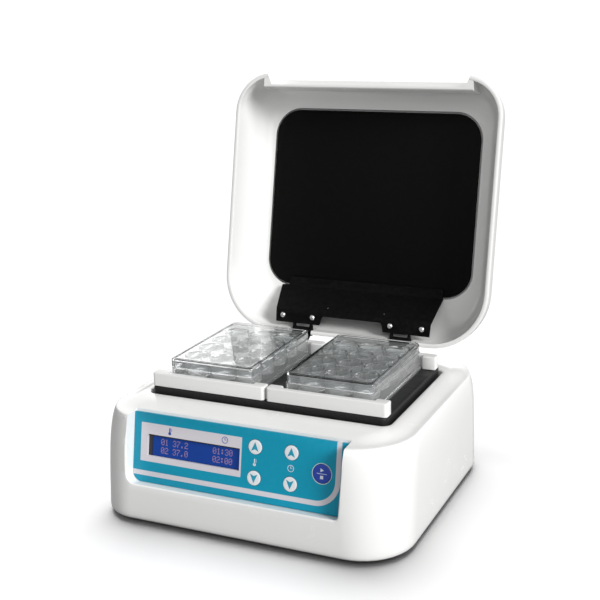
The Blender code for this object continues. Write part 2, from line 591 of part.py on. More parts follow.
# ---------------------------------------------------------------- drive
def make_drive(finishes, frame, crank_axis, pin_axis):
    # Plate on four posts, with bearings and cranks in it.
    half_x, half_y = SLAB_HALF_X - 0.004, SLAB_HALF_Y - 0.004
    plate = slab("drive_frame", rounded_outline(half_x, half_y, 0.008, 2), FRAME_FOOT, FRAME_TOP,
                 finishes["zinc_plate"], frame)
    posts = []
    for side_x in (-1, 1):
        for side_y in (-1, 1):
            outline = circle_outline(0.0050, 12, side_x * (half_x - 0.0080), side_y * (half_y - 0.0080))
            posts.append([at_height(outline, PAN_TOP + GAP), at_height(outline, FRAME_FOOT + 0.001)])
    join_solid(plate, skin("frame_posts", posts, None, frame))
    bearing_radius = SHAFT_RADIUS + 0.0060
    holes = []
    places = [(0.0, 0.0, bearing_radius + GAP), (MOTOR_X, 0.0, 0.0045)]
    places += [(x, y, IDLER_JOURNAL + GAP) for x, y in IDLER_PLACES]
    for x, y, radius in places:
        outline = circle_outline(radius, 20, x, y)
        holes.append([at_height(outline, FRAME_FOOT - 0.002), at_height(outline, FRAME_TOP + 0.002)])
    cut_away(plate, skin("frame_holes", holes, None, frame))

    bore = SHAFT_RADIUS + GAP
    profile = ((bore, FRAME_FOOT - 0.010), (bearing_radius, FRAME_FOOT - 0.010),
               (bearing_radius, FRAME_TOP + GAP), (bearing_radius + 0.004, FRAME_TOP + GAP),
               (bearing_radius + 0.004, FLANGE_TOP), (bore, FLANGE_TOP))
    turned("main_bearing", profile, 20, finishes["steel"], frame, closed=True)

    # Crankshaft: shaft, web and offset pin in one piece.
    pin_top = HUB_FOOT + HUB_LENGTH - 0.0040
    stations = ((0.0, SHAFT_RADIUS, FRAME_FOOT - 0.014), (0.0, SHAFT_RADIUS, WEB_FOOT),
                (0.0, WEB_RADIUS, WEB_FOOT), (0.0, WEB_RADIUS, WEB_TOP),
                (ORBIT_RADIUS, CRANK_PIN, WEB_TOP), (ORBIT_RADIUS, CRANK_PIN, pin_top))
    rings = [at_height(circle_outline(radius, 24, x), z) for x, radius, z in stations]
    skin("crankshaft", [rings], finishes["steel"], crank_axis)
    weight = []
    steps = 10
    for index in range(steps + 1):
        angle = math.radians(100 + 160 * index / steps)
        weight.append((WEB_RADIUS * math.cos(angle), WEB_RADIUS * math.sin(angle)))
    for index in range(steps, -1, -1):
        angle = math.radians(100 + 160 * index / steps)
        weight.append((WEIGHT_INNER * math.cos(angle), WEIGHT_INNER * math.sin(angle)))
    slab("counterweight", weight, WEB_TOP + GAP, WEB_TOP + GAP + WEIGHT_HEIGHT, finishes["steel"], crank_axis)
    pulley = ((bore, PULLEY_FOOT), (CRANK_PULLEY, PULLEY_FOOT),
              (CRANK_PULLEY, PULLEY_TOP), (bore, PULLEY_TOP))
    turned("crank_pulley", pulley, 32, finishes["aluminium"], crank_axis, closed=True)

    # Motor, its spindle with the small pulley, and the belt.
    profile = ((MOTOR_RADIUS - 0.001, PAN_TOP + 0.002), (MOTOR_RADIUS, PAN_TOP + 0.003),
               (MOTOR_RADIUS, FRAME_FOOT - 0.0015), (MOTOR_RADIUS - 0.001, FRAME_FOOT - GAP))
    motor = turned("motor_body", profile, 24, finishes["steel"], frame)
    motor.location = (MOTOR_X, 0.0, 0.0)
    profile = ((0.0030, FRAME_FOOT + 0.0005), (0.0030, PULLEY_FOOT), (MOTOR_PULLEY, PULLEY_FOOT),
               (MOTOR_PULLEY, PULLEY_TOP))
    spindle = turned("motor_pulley", profile, 24, finishes["aluminium"], frame)
    spindle.location = (MOTOR_X, 0.0, 0.0)
    rings = []
    for extra, z in ((GAP, PULLEY_FOOT + 0.001), (GAP + BELT_THICKNESS, PULLEY_FOOT + 0.001),
                     (GAP + BELT_THICKNESS, PULLEY_TOP - 0.001), (GAP, PULLEY_TOP - 0.001)):
        rings.append(at_height(belt_outline(CRANK_PULLEY + extra, MOTOR_PULLEY + extra), z))
    skin("drive_belt", [rings], finishes["rubber"], frame, closed=True)

    # Idler cranks keep the platform square: each has a journal, a web and an offset pin.
    boss_foot = FRAME_TOP + GAP + IDLER_WEB_HEIGHT + 0.0020
    for name, place in zip(("idler_rear_left", "idler_rear_right", "idler_front"), IDLER_PLACES):
        stations = ((0.0, IDLER_JOURNAL, FRAME_FOOT - 0.004), (0.0, IDLER_JOURNAL, FRAME_TOP + GAP),
                    (0.0, IDLER_WEB, FRAME_TOP + GAP), (0.0, IDLER_WEB, FRAME_TOP + GAP + IDLER_WEB_HEIGHT),
                    (ORBIT_RADIUS, IDLER_PIN, FRAME_TOP + GAP + IDLER_WEB_HEIGHT),
                    (ORBIT_RADIUS, IDLER_PIN, boss_foot + 0.014))
        rings = [at_height(circle_outline(radius, 20, x), z) for x, radius, z in stations]
        idler = skin(name, [rings], finishes["steel"], frame)
        idler.location = (*place, 0.0)

    # Carrier: plate with a hub for the crank pin and a boss for each idler pin. The platform's
    # frame stands on the crank pin, so its own centre is one orbit radius back.
    shift = -ORBIT_RADIUS
    outline = rounded_outline(SLAB_HALF_X - 0.003, SLAB_HALF_Y - 0.003, 0.006, 2, shift)
    carrier = slab("platform_carrier", outline, CARRIER_FOOT, CARRIER_TOP, finishes["aluminium"], pin_axis)
    bosses = [[at_height(circle_outline(HUB_RADIUS, 24), HUB_FOOT),
               at_height(circle_outline(HUB_RADIUS, 24), CARRIER_FOOT + 0.001)]]
    hub_bore = PLATFORM_BEARING + GAP
    bores = [[at_height(circle_outline(hub_bore, 24), HUB_FOOT - 0.001),
              at_height(circle_outline(hub_bore, 24), HUB_FOOT + HUB_LENGTH - 0.0030)]]
    for x, y in IDLER_PLACES:
        outline = circle_outline(BOSS_RADIUS, 20, x, y)
        bosses.append([at_height(outline, boss_foot), at_height(outline, CARRIER_FOOT + 0.001)])
        outline = circle_outline(IDLER_PIN + GAP, 20, x, y)
        bores.append([at_height(outline, boss_foot - 0.001), at_height(outline, boss_foot + 0.016)])
    join_solid(carrier, skin("carrier_bosses", bosses, None, pin_axis))
    cut_away(carrier, skin("carrier_bores", bores, None, pin_axis))
    profile = ((CRANK_PIN + GAP, HUB_FOOT + 0.0015), (PLATFORM_BEARING, HUB_FOOT + 0.0015),
               (PLATFORM_BEARING, HUB_FOOT + 0.0105), (CRANK_PIN + GAP, HUB_FOOT + 0.0105))
    turned("platform_bearing", profile, 24, finishes["steel"], pin_axis, closed=True)


def belt_outline(large, small):
    """A belt's path round two pulleys, the small one at MOTOR_X."""
    meet = math.acos((large - small) / MOTOR_X)
    points = []
    steps = 16
    for index in range(steps + 1):
        angle = meet + (2 * math.pi - 2 * meet) * index / steps
        points.append((large * math.cos(angle), large * math.sin(angle)))
    steps = 8
    for index in range(steps + 1):
        angle = -meet + 2 * meet * index / steps
        points.append((MOTOR_X + small * math.cos(angle), small * math.sin(angle)))
    return points


# ---------------------------------------------------------------- platform and microplates
def make_platform(finishes, pin_axis):
    """The black slab and its four rails."""
    block = soft_block("heater_slab", SLAB_HALF_X, SLAB_HALF_Y, SLAB_CORNER, SLAB_TOP - SLAB_THICKNESS,
                       SLAB_TOP, 0.0010, finishes["black_anodised"], pin_axis)
    block.location = (-ORBIT_RADIUS, 0.0, 0.0)
    for side_x, side_name in ((-1, "left"), (1, "right")):
        for side_y, end_name in ((-1, "front"), (1, "rear")):
            rail = make_rail(f"rail_{end_name}_{side_name}", side_y, finishes["rail_white"], pin_axis)
            rail.location = (side_x * PLATE_X - ORBIT_RADIUS, PLATE_ROW_Y, SLAB_TOP + GAP)


def make_rail(name, side_y, material, parent):
    """A bar across the end of a plate, whose ends come round the plate's corners."""
    half = RAIL_LENGTH / 2
    inner = PLATE_WIDTH / 2 + RAIL_SLACK
    edge = 0.0008
    rings = []
    for inset, z in ((0.0, 0.0), (0.0, RAIL_HEIGHT - edge), (edge, RAIL_HEIGHT)):
        face = -RAIL_FACE + inset
        back = -RAIL_FACE + RAIL_THICKNESS - inset
        arm = back + RAIL_RETURN
        radius = RAIL_CORNER
        outline = []
        for centre, start in ((half - inset - radius, 270), (-(half - inset - radius), 180)):
            arc = []
            for step in range(4):
                angle = math.radians(start + 90 * step / 3)
                arc.append((centre + radius * math.cos(angle), face + radius + radius * math.sin(angle)))
            outline.append(arc)
        points = outline[1] + outline[0]
        points += [(half - inset, arm), (inner + inset, arm), (inner + inset, back)]
        points += [(-inner - inset, back), (-inner - inset, arm), (-half + inset, arm)]
        rings.append([(x, -side_y * y, z) for x, y in points])
    return skin(name, [rings], material, parent)


def make_microplate(side_x, side_name, finishes, pin_axis):
    """A plate with its grid of wells, and the loose cover on it."""
    outer_x, outer_y = PLATE_WIDTH / 2, PLATE_LENGTH / 2
    neck = PLATE_STEP + COVER_FIT + COVER_WALL - 0.0004
    cover_foot = PLATE_HEIGHT + GAP + COVER_TOP - COVER_HEIGHT
    levels = ((0.0, 0.0), (0.0, PLATE_FLANGE), (PLATE_STEP, PLATE_FLANGE), (PLATE_STEP, cover_foot - GAP),
              (neck, cover_foot - GAP), (neck, PLATE_HEIGHT))
    rings = []
    for inset, z in levels:
        outline = rounded_outline(outer_x - inset, outer_y - inset, PLATE_CORNER, 3)
        rings.append(at_height(outline, z))
    location = (side_x * PLATE_X - ORBIT_RADIUS, PLATE_ROW_Y, SLAB_TOP + GAP)
    plate = skin(f"microplate_{side_name}", [rings], finishes["clear_styrene"], pin_axis)
    plate.location = location
    wells = []
    for column in range(WELL_COLUMNS):
        for row in range(WELL_ROWS):
            x = (column - (WELL_COLUMNS - 1) / 2) * WELL_PITCH
            y = (row - (WELL_ROWS - 1) / 2) * WELL_PITCH
            outline = circle_outline(WELL_RADIUS, 16, x, y)
            floor = at_height(outline, PLATE_HEIGHT - WELL_DEPTH)
            wells.append([floor, at_height(outline, PLATE_HEIGHT + 0.01)])
    cutter = skin(f"wells_{side_name}", wells, None, pin_axis)
    cutter.location = location
    cut_away(plate, cutter)

    outside = neck - COVER_FIT - COVER_WALL
    levels = ((outside, cover_foot), (outside, PLATE_HEIGHT + GAP + COVER_TOP - 0.0006),
              (outside + 0.0006, PLATE_HEIGHT + GAP + COVER_TOP))
    under = ((outside + COVER_WALL, PLATE_HEIGHT + GAP), (outside + COVER_WALL, cover_foot))
    rings = []
    for inset, z in levels:
        outline = rounded_outline(outer_x - inset, outer_y - inset, PLATE_CORNER, 3)
        rings.append(at_height(outline, z))
    inner = []
    for inset, z in under:
        outline = rounded_outline(outer_x - inset, outer_y - inset, PLATE_CORNER - 0.0008, 3)
        inner.append(at_height(outline, z))
    # Skinned as one stack that starts and ends at its two flat faces: crown outside, ceiling inside.
    stack = list(reversed(rings)) + list(reversed(inner))
    cover = skin(f"plate_cover_{side_name}", [stack], finishes["clear_styrene"], pin_axis)
    cover.location = location


# ---------------------------------------------------------------- lid
def lid_section(half_x, half_y, inset, centre_y, z):
    """A section of the lid outside its cove: the front corners are tighter than the rear ones."""
    outline = rounded_outline(half_x - inset, half_y - inset, LID_CORNER_REAR - inset * 0.8, 5, 0.0,
                              centre_y, LID_CORNER_FRONT - inset * 0.8)
    return at_height(outline, z)


def lid_cove(share):
    """A section of the lid's inner cove. share runs from 0 at the rim to 1 at the heater's pocket."""
    angle = share * math.pi / 2
    across = 1 - math.cos(angle)
    pocket_x = HEATER_WIDTH / 2 + HEATER_FIT
    pocket_y = HEATER_LENGTH / 2 + HEATER_FIT
    pocket_corner = HEATER_CORNER + HEATER_FIT
    half_x = blend(LID_HALF_X - LID_RIM, pocket_x, across)
    half_y = blend(LID_HALF_Y - LID_RIM, pocket_y, across)
    rear = blend(LID_CORNER_REAR - LID_RIM, pocket_corner, across)
    front = blend(LID_CORNER_FRONT - LID_RIM, pocket_corner, across)
    centre_y = blend(LID_MID_Y, HEATER_Y, across)
    z = blend(0.0008, HEATER_DEPTH + COVE_STEP, math.sin(angle))
    return at_height(rounded_outline(half_x, half_y, rear, 5, 0.0, centre_y, front), z)


def lid_rings():
    """Sections of the lid, from the crown down the outside, round the rim and up inside."""
    rings = []
    crown = ((0.045, 1.0), (0.030, 0.965), (0.019, 0.88), (0.011, 0.75), (0.0055, 0.58),
             (0.0022, 0.39), (0.0006, 0.19), (0.0, 0.02), (0.0008, 0.0))
    for inset, share in crown:
        rings.append(lid_section(LID_HALF_X, LID_HALF_Y, inset, LID_MID_Y, share * LID_DEPTH))
    rings.append(lid_section(LID_HALF_X, LID_HALF_Y, LID_RIM - 0.0008, LID_MID_Y, 0.0))
    for index in range(7):
        rings.append(lid_cove(index / 6))
    pocket_corner = HEATER_CORNER + HEATER_FIT
    outline = rounded_outline(HEATER_WIDTH / 2 + HEATER_FIT * 0.9, HEATER_LENGTH / 2 + HEATER_FIT * 0.9,
                              pocket_corner, 5, 0.0, HEATER_Y)
    rings.append(at_height(outline, POCKET_DEPTH))
    return rings


def make_lid(finishes, lid_frame):
    """Shell, insulation and heater plate. The lid's own frame has z = 0 on its rim."""
    shell = skin("lid_shell", [lid_rings()], finishes["white_shell"], lid_frame)

    # Finger grip: thicken the front wall inwards, then step it back from outside.
    front = LID_FRONT_Y
    back = front + GRIP_STEP + GRIP_WALL
    low, high = 0.0004, GRIP_HEIGHT + 0.0060
    outline = ((front + LID_RIM * 0.6, low), (back, low), (back, high), (front + LID_RIM * 2.1, high))
    reach = GRIP_HALF + GRIP_SLOPE + GRIP_WALL
    join_solid(shell, bar("grip_backing", outline, -reach, reach, None, lid_frame))
    rings = []
    stations = ((GRIP_HALF, front + GRIP_STEP), (GRIP_HALF + GRIP_SLOPE, front),
                (GRIP_HALF + 0.020, front - 0.020))
    for half, y in stations:
        corners = ((-half, -0.010), (half, -0.010), (half, GRIP_HEIGHT), (-half, GRIP_HEIGHT))
        rings.append([(x, y, z) for x, z in corners])
    cut_away(shell, skin("grip_cut", [rings], None, lid_frame))

    # Slots in the rear wall, where the hinges pass through.
    slots = []
    for side in (-1, 1):
        outline = rounded_outline(HINGE_WIDTH / 2 + EAR_THICKNESS + 0.0030, 0.0120, 0.001, 1,
                                  side * HINGE_X, LID_REAR_Y)
        slots.append([at_height(outline, -0.010), at_height(outline, HINGE_RISE + BARREL_RADIUS + 0.0025)])
    cut_away(shell, skin("hinge_slots", slots, None, lid_frame))

    half_x, half_y = HEATER_WIDTH / 2, HEATER_LENGTH / 2
    soft_block_at(lid_frame, "lid_insulation", half_x - 0.002, half_y - 0.002, HEATER_CORNER - 0.002,
                  HEATER_DEPTH + HEATER_THICKNESS + GAP, POCKET_DEPTH - GAP, 0.0004, finishes["foam"])
    soft_block_at(lid_frame, "lid_heater_plate", half_x, half_y, HEATER_CORNER,
                  HEATER_DEPTH, HEATER_DEPTH + HEATER_THICKNESS, 0.0005, finishes["black_enamel"])


def soft_block_at(parent, name, half_x, half_y, radius, low, high, edge, material):
    block = soft_block(name, half_x, half_y, radius, low, high, edge, material, parent, steps=5)
    block.location = (0.0, HEATER_Y, 0.0)


def bracket_path():
    """Middle line of the bracket's sheet in the lid's frame, as (y, z) from hinge to heater."""
    leg_z = HINGE_RISE - 0.0012
    hinge_y = HINGE_Y
    foot = hinge_y - BARREL_RADIUS - 0.0030
    knee = foot - LEG_LENGTH
    heater_edge = HEATER_Y + HEATER_LENGTH / 2
    top = HEATER_DEPTH - GAP - SHEET / 2
    return ((foot, leg_z), (knee, leg_z), (heater_edge + 0.001, top), (heater_edge - 0.0080, top))


def sheet_outline(path, thickness):
    """A constant-thickness strip about an open path in YZ."""
    offsets = []
    points = [Vector(point) for point in path]
    for index, point in enumerate(points):
        before = points[index] - points[index - 1] if index > 0 else points[1] - points[0]
        after = points[index + 1] - point if index + 1 < len(points) else before
        normal_a = Vector((-before.y, before.x)).normalized()
        normal_b = Vector((-after.y, after.x)).normalized()
        bisector = (normal_a + normal_b).normalized()
        offsets.append(bisector * (thickness / 2 / bisector.dot(normal_a)))
    one = [tuple(point + offset) for point, offset in zip(points, offsets)]
    other = [tuple(point - offset) for point, offset in zip(points, offsets)]
    return one + list(reversed(other))


def make_hinges(finishes, frame, lid_frame, hinge_axis):
    """Folded bracket on the lid, blocks on the housing, and a pin through each pair."""
    path = bracket_path()
    bracket = bar("hinge_bracket", sheet_outline(path, SHEET), -BRACKET_HALF, BRACKET_HALF,
                  finishes["black_enamel"], lid_frame)
    foot_y, leg_z = path[0]
    knee_y = path[1][0]
    gap_cut = ((-LEG_INNER, foot_y + 0.010), (-LEG_INNER, knee_y + 0.004), (-LEG_INNER + 0.004, knee_y),
               (LEG_INNER - 0.004, knee_y), (LEG_INNER, knee_y + 0.004), (LEG_INNER, foot_y + 0.010))
    cut_away(bracket, slab("leg_gap", gap_cut, leg_z - 0.010, leg_z + 0.0090, None, lid_frame))
    ears = []
    ear_outline = ((-BARREL_RADIUS + 0.0002, 0.0042), (-BARREL_RADIUS + 0.0002, -0.0042), (0.0030, -0.0042),
                   (0.0042, -0.0030), (0.0042, 0.0030), (0.0030, 0.0042))
    for side in (-1, 1):
        for edge in (-1, 1):
            near = side * HINGE_X + edge * (HINGE_WIDTH / 2 + GAP)
            far = near + edge * EAR_THICKNESS
            rings = []
            for x in sorted((near, far)):
                ring = [(x, HINGE_Y + y, HINGE_RISE + z) for y, z in ear_outline]
                ring[0] = (x, foot_y - 0.0030, leg_z + 0.0004)
                ring[1] = (x, foot_y - 0.0030, leg_z - SHEET * 0.4)
                rings.append(ring)
            ears.append(rings)
    join_solid(bracket, skin("hinge_ears", ears, None, lid_frame))
    bores = []
    for side in (-1, 1):
        rings = []
        for x in (side * HINGE_X - 0.020, side * HINGE_X + 0.020):
            outline = circle_outline(PIN_RADIUS + GAP, 16, HINGE_Y, HINGE_RISE)
            rings.append([(x, y, z) for y, z in outline])
        bores.append(rings)
    cut_away(bracket, skin("ear_bores", bores, None, lid_frame))

    for side, side_name in ((-1, "left"), (1, "right")):
        centre = side * HINGE_X
        reach = HINGE_WIDTH / 2 + EAR_THICKNESS + 0.0012
        bar(f"hinge_pin_{side_name}", circle_outline(PIN_RADIUS, 16), centre - reach, centre + reach,
            finishes["steel"], hinge_axis)

        # Block: a foot in the housing's seat and an arm up to the barrel round the pin.
        foot_low = EDGE_Z - 0.0010 + GAP
        outline = [(HINGE_Y - 0.0215, foot_low), (HINGE_Y - 0.0075, foot_low),
                   (HINGE_Y - 0.0060, foot_low + 0.0015)]
        for step in range(9):
            angle = math.radians(-60 + 210 * step / 8)
            y = HINGE_Y + BARREL_RADIUS * math.cos(angle)
            outline.append((y, HINGE_Z + BARREL_RADIUS * math.sin(angle)))
        outline += [(HINGE_Y - 0.0105, foot_low + 0.0042), (HINGE_Y - 0.0215, foot_low + 0.0032)]
        block = bar(f"hinge_block_{side_name}", outline, centre - HINGE_WIDTH / 2, centre + HINGE_WIDTH / 2,
                    finishes["black_enamel"], frame)
        rings = []
        for x in (centre - 0.020, centre + 0.020):
            rings.append([(x, y, z) for y, z in circle_outline(PIN_RADIUS + GAP, 16, HINGE_Y, HINGE_Z)])
        cut_away(block, skin(f"pin_bore_{side_name}", [rings], None, frame))

    for index, x in enumerate(BRACKET_SCREW_X):
        profile = ((SCREW_RADIUS, 0.0), (SCREW_RADIUS, -0.0010), (SCREW_RADIUS * 0.75, -0.0020),
                   (SCREW_RADIUS * 0.3, -0.0024))
        screw = turned(f"bracket_screw_{index + 1}", profile, 16, finishes["steel"], lid_frame)
        screw.location = (x, (foot_y + knee_y) / 2 - 0.001, leg_z - SHEET / 2 - GAP)


# ---------------------------------------------------------------- connectors and electronics
def make_rear_connectors(finishes, frame):
    """Mains inlet with its socket, and a rocker switch, both on the rear pad."""
    face = REAR_PAD_Y + GAP
    outline = box_outline(INLET_X, REAR_PAD_Z, 0.0160, 0.0135, 0.003, 2)
    inlet = panel_prism("power_inlet", outline, face, face + 0.0030, finishes["black_plastic"], frame)
    body = panel_prism("inlet_body", box_outline(INLET_X, REAR_PAD_Z, 0.0134, 0.0096), face + 0.0020,
                       face - 0.0220, None, frame)
    join_solid(inlet, body)
    socket = panel_prism("inlet_socket", box_outline(INLET_X, REAR_PAD_Z, 0.0118, 0.0080, 0.003, 2),
                         face - 0.0170, face + 0.0060, None, frame)
    cut_away(inlet, socket)

    bezel = panel_prism("switch_bezel", box_outline(SWITCH_X, REAR_PAD_Z, 0.0120, 0.0086, 0.001, 1),
                        face, face + 0.0020, finishes["black_plastic"], frame)
    body = panel_prism("switch_body", box_outline(SWITCH_X, REAR_PAD_Z, 0.0095, 0.0062), face + 0.0010,
                       face - 0.0160, None, frame)
    join_solid(bezel, body)
    well = panel_prism("switch_well", box_outline(SWITCH_X, REAR_PAD_Z, 0.0086, 0.0058), face - 0.0080,
                       face + 0.0060, None, frame)
    cut_away(bezel, well)
    pivot = axis_frame("rocker_axis", (SWITCH_X, face - 0.0030, REAR_PAD_Z), ROCKER_TILT, frame)
    half = 0.0050
    outline = ((-0.0022, -half + 0.0012), (0.0045, -half), (0.0033, 0.0), (0.0045, half),
               (-0.0022, half - 0.0012))
    bar("power_rocker", outline, -0.0082, 0.0082, finishes["black_plastic"], pivot)


def make_electronics(finishes, frame):
    """Mains supply at the rear and the control board on the pan, clear of the drive's posts."""
    rear = OPENING_HALF_Y + 0.0040
    depth = 0.0300
    supply = soft_block("power_supply", 0.0420, depth / 2, 0.002, PAN_TOP + GAP, PAN_TOP + 0.036, 0.0006,
                        finishes["aluminium"], frame, steps=1)
    supply.location = (-0.040, rear + depth / 2, 0.0)
    front = -SLAB_HALF_Y
    board = slab("control_board", rounded_outline(0.060, 0.0160, 0.002, 1),
                 PAN_TOP + 0.0060, PAN_TOP + 0.0076, finishes["circuit_green"], frame)
    spacers = []
    for side_x in (-1, 1):
        for side_y in (-1, 1):
            outline = circle_outline(0.0028, 10, side_x * 0.055, side_y * 0.0115)
            spacers.append([at_height(outline, PAN_TOP + GAP), at_height(outline, PAN_TOP + 0.0065)])
    tool = skin("board_spacers", spacers, None, frame)
    join_solid(board, tool)
    board.location = (-0.010, front - 0.0140, 0.0)
    tool.location = board.location


# ---------------------------------------------------------------- assembly
def clear_scene():
    for item in list(bpy.data.objects):
        bpy.data.objects.remove(item, do_unlink=True)


def centre_on_origin(frame):
    """Shift the whole object along Y until its footprint is centred on the origin."""
    bpy.context.view_layer.update()
    depsgraph = bpy.context.evaluated_depsgraph_get()
    low, high = math.inf, -math.inf
    for item in bpy.context.scene.objects:
        if item.type != "MESH" or item.hide_render:
            continue
        shape = item.evaluated_get(depsgraph)
        for vertex in shape.data.vertices:
            y = (shape.matrix_world @ vertex.co).y
            low, high = min(low, y), max(high, y)
    frame.location.y = -(low + high) / 2


def main():
    clear_scene()
    finishes = make_finishes()
    frame = axis_frame("shaker_frame", (0.0, 0.0, 0.0), 0.0, None)
    panel_foot = (0.0, -FOOT_HALF_Y + PANEL_SETBACK, PANEL_FOOT)
    panel_plane = axis_frame("panel_plane", panel_foot, -PANEL_LEAN, frame)
    crank_axis = axis_frame("crank_axis", (0.0, 0.0, 0.0), 0.0, frame)
    pin_axis = axis_frame("crank_pin_axis", (ORBIT_RADIUS, 0.0, 0.0), 0.0, crank_axis)
    hinge_axis = axis_frame("hinge_axis", (0.0, HINGE_Y, HINGE_Z), -LID_OPEN, frame)
    lid_frame = axis_frame("lid_frame", (0.0, -HINGE_Y, -HINGE_RISE), 0.0, hinge_axis)

    make_housing(finishes, frame, panel_plane)
    make_pan_and_feet(finishes, frame)
    make_panel(finishes, frame, panel_plane)
    make_drive(finishes, frame, crank_axis, pin_axis)
    make_platform(finishes, pin_axis)
    for side_x, side_name in ((-1, "left"), (1, "right")):
        make_microplate(side_x, side_name, finishes, pin_axis)
    make_lid(finishes, lid_frame)
    make_hinges(finishes, frame, lid_frame, hinge_axis)
    make_rear_connectors(finishes, frame)
    make_electronics(finishes, frame)
    centre_on_origin(frame)


main()
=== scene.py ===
"""Looks of the heated microplate shaker, built round its fixed frame.

Units are metres, +Z is up and the control panel faces -Y. Most pieces are drawn in a frame of
their own: the lid frame has the hinge's axis as its origin and is drawn shut, and the panel frame
lies in the face of the control panel.
"""

import json
import math

import bmesh
import bpy
from mathutils import Matrix, Vector


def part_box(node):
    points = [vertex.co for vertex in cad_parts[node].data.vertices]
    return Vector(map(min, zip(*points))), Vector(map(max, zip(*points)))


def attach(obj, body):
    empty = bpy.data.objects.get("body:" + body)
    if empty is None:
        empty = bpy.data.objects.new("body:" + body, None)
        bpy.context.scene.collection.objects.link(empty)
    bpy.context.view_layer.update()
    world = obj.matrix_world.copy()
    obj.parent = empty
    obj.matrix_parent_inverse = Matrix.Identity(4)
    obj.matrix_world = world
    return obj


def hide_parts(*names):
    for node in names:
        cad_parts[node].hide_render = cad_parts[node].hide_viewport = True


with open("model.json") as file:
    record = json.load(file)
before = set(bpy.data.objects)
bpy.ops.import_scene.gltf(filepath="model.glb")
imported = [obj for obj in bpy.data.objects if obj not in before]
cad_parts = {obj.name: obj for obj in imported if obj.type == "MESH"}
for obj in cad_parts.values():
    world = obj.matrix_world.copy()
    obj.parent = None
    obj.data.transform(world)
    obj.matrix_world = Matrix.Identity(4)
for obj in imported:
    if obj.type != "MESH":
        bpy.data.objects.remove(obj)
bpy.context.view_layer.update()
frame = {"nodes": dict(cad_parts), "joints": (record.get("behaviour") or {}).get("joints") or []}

# ---------------------------------------------------------------- frames taken from the CAD
JOINTS = {joint["name"]: joint for joint in frame["joints"]}
GAP = 0.0003                                    # clearance between pieces that touch


def local_box(node, place):
    """Lowest and highest corner of a CAD node in a frame of its own."""
    inverse = place.inverted()
    points = [inverse @ vertex.co for vertex in frame["nodes"][node].data.vertices]
    low = Vector([min(point[axis] for point in points) for axis in range(3)])
    high = Vector([max(point[axis] for point in points) for axis in range(3)])
    return low, high


def middle(node, place=Matrix.Identity(4)):
    low, high = local_box(node, place)
    return (low + high) / 2


HOUSING_LOW, HOUSING_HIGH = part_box("upper_housing")
CENTRE_Y = (HOUSING_LOW.y + HOUSING_HIGH.y) / 2
HINGE = Vector(JOINTS["lid_hinge"]["pos_m"])
LID_OPEN = math.radians(-min(JOINTS["lid_hinge"]["range_deg"]))
LID = Matrix.Translation(HINGE) @ Matrix.Rotation(-LID_OPEN, 4, "X")
INWARD = Vector(JOINTS["key_start_stop_press"]["axis"])
LEAN = math.atan2(-INWARD.z, INWARD.y)
PANEL_TURN = Matrix.Rotation(-LEAN, 4, "X")
FASCIA_LOW, FASCIA_HIGH = local_box("control_panel", PANEL_TURN)
PANEL = PANEL_TURN @ Matrix.Translation((0.0, FASCIA_LOW.y, FASCIA_LOW.z))

# ---------------------------------------------------------------- sizes, metres
# Housing, in the base frame
FOOT_HALF_X = (HOUSING_HIGH.x - HOUSING_LOW.x) / 2
FOOT_HALF_Y = (HOUSING_HIGH.y - HOUSING_LOW.y) / 2
SIDE_FLARE = 0.0042
FRONT_FLARE = 0.0078
EDGE_HALF_X = FOOT_HALF_X - SIDE_FLARE
EDGE_HALF_Y = FOOT_HALF_Y - FRONT_FLARE
RIM_Z = HOUSING_LOW.z
OPENING_Z = HOUSING_HIGH.z
TOP_RISE = 0.0050
EDGE_Z = OPENING_Z - TOP_RISE
WALL = 0.0028
REAR_FLARE = 0.0010
FOOT_CORNER = 0.048
EDGE_CORNER = 0.055
LEFT_TIGHTER = 0.012                             # the front left corner is tighter than the right one
EDGE_ROUND = 0.0012
SLAB_LOW, SLAB_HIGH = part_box("heater_slab")
SLAB_HALF_X = (SLAB_HIGH.x - SLAB_LOW.x) / 2
SLAB_HALF_Y = (SLAB_HIGH.y - SLAB_LOW.y) / 2
SLAB_CORNER = 0.0050
SWING = 0.0032
OPENING_HALF_X = SLAB_HALF_X + SWING
OPENING_HALF_Y = SLAB_HALF_Y + SWING
OPENING_CORNER = SLAB_CORNER + SWING
COLLAR_DEPTH = 0.0145

# Panel recess, in the panel frame
PANEL_LEFT = FASCIA_LOW.x - GAP
PANEL_RIGHT = FASCIA_HIGH.x + GAP - 0.0055
PANEL_HEIGHT = FASCIA_HIGH.z - FASCIA_LOW.z
PANEL_SLANT = 0.0035
PANEL_CORNER = 0.0090
PANEL_THICKNESS = FASCIA_HIGH.y - FASCIA_LOW.y
PANEL_FOOT = PANEL.translation.z
LIP_SOFTNESS = 0.0016


# ---------------------------------------------------------------- modelling
def leave_edit():
    if bpy.context.object is not None and bpy.context.object.mode != "OBJECT":
        bpy.ops.object.mode_set(mode="OBJECT")


def pick(piece):
    """Deselects everything, then selects one piece and makes it active."""
    leave_edit()
    bpy.ops.object.select_all(action="DESELECT")
    bpy.context.view_layer.objects.active = piece
    piece.select_set(True)


def open_piece(name):
    """A new piece with nothing in it yet, in edit mode."""
    piece = bpy.data.objects.new(name, bpy.data.meshes.new(name))
    bpy.context.scene.collection.objects.link(piece)
    pick(piece)
    bpy.ops.object.mode_set(mode="EDIT")
    bpy.ops.mesh.select_mode(type="VERT")
    return piece


def close_piece(piece):
    """Turns every face outwards and leaves edit mode."""
    bpy.ops.mesh.select_all(action="SELECT")
    bpy.ops.mesh.normals_make_consistent(inside=False)
    bpy.ops.object.mode_set(mode="OBJECT")
    return piece


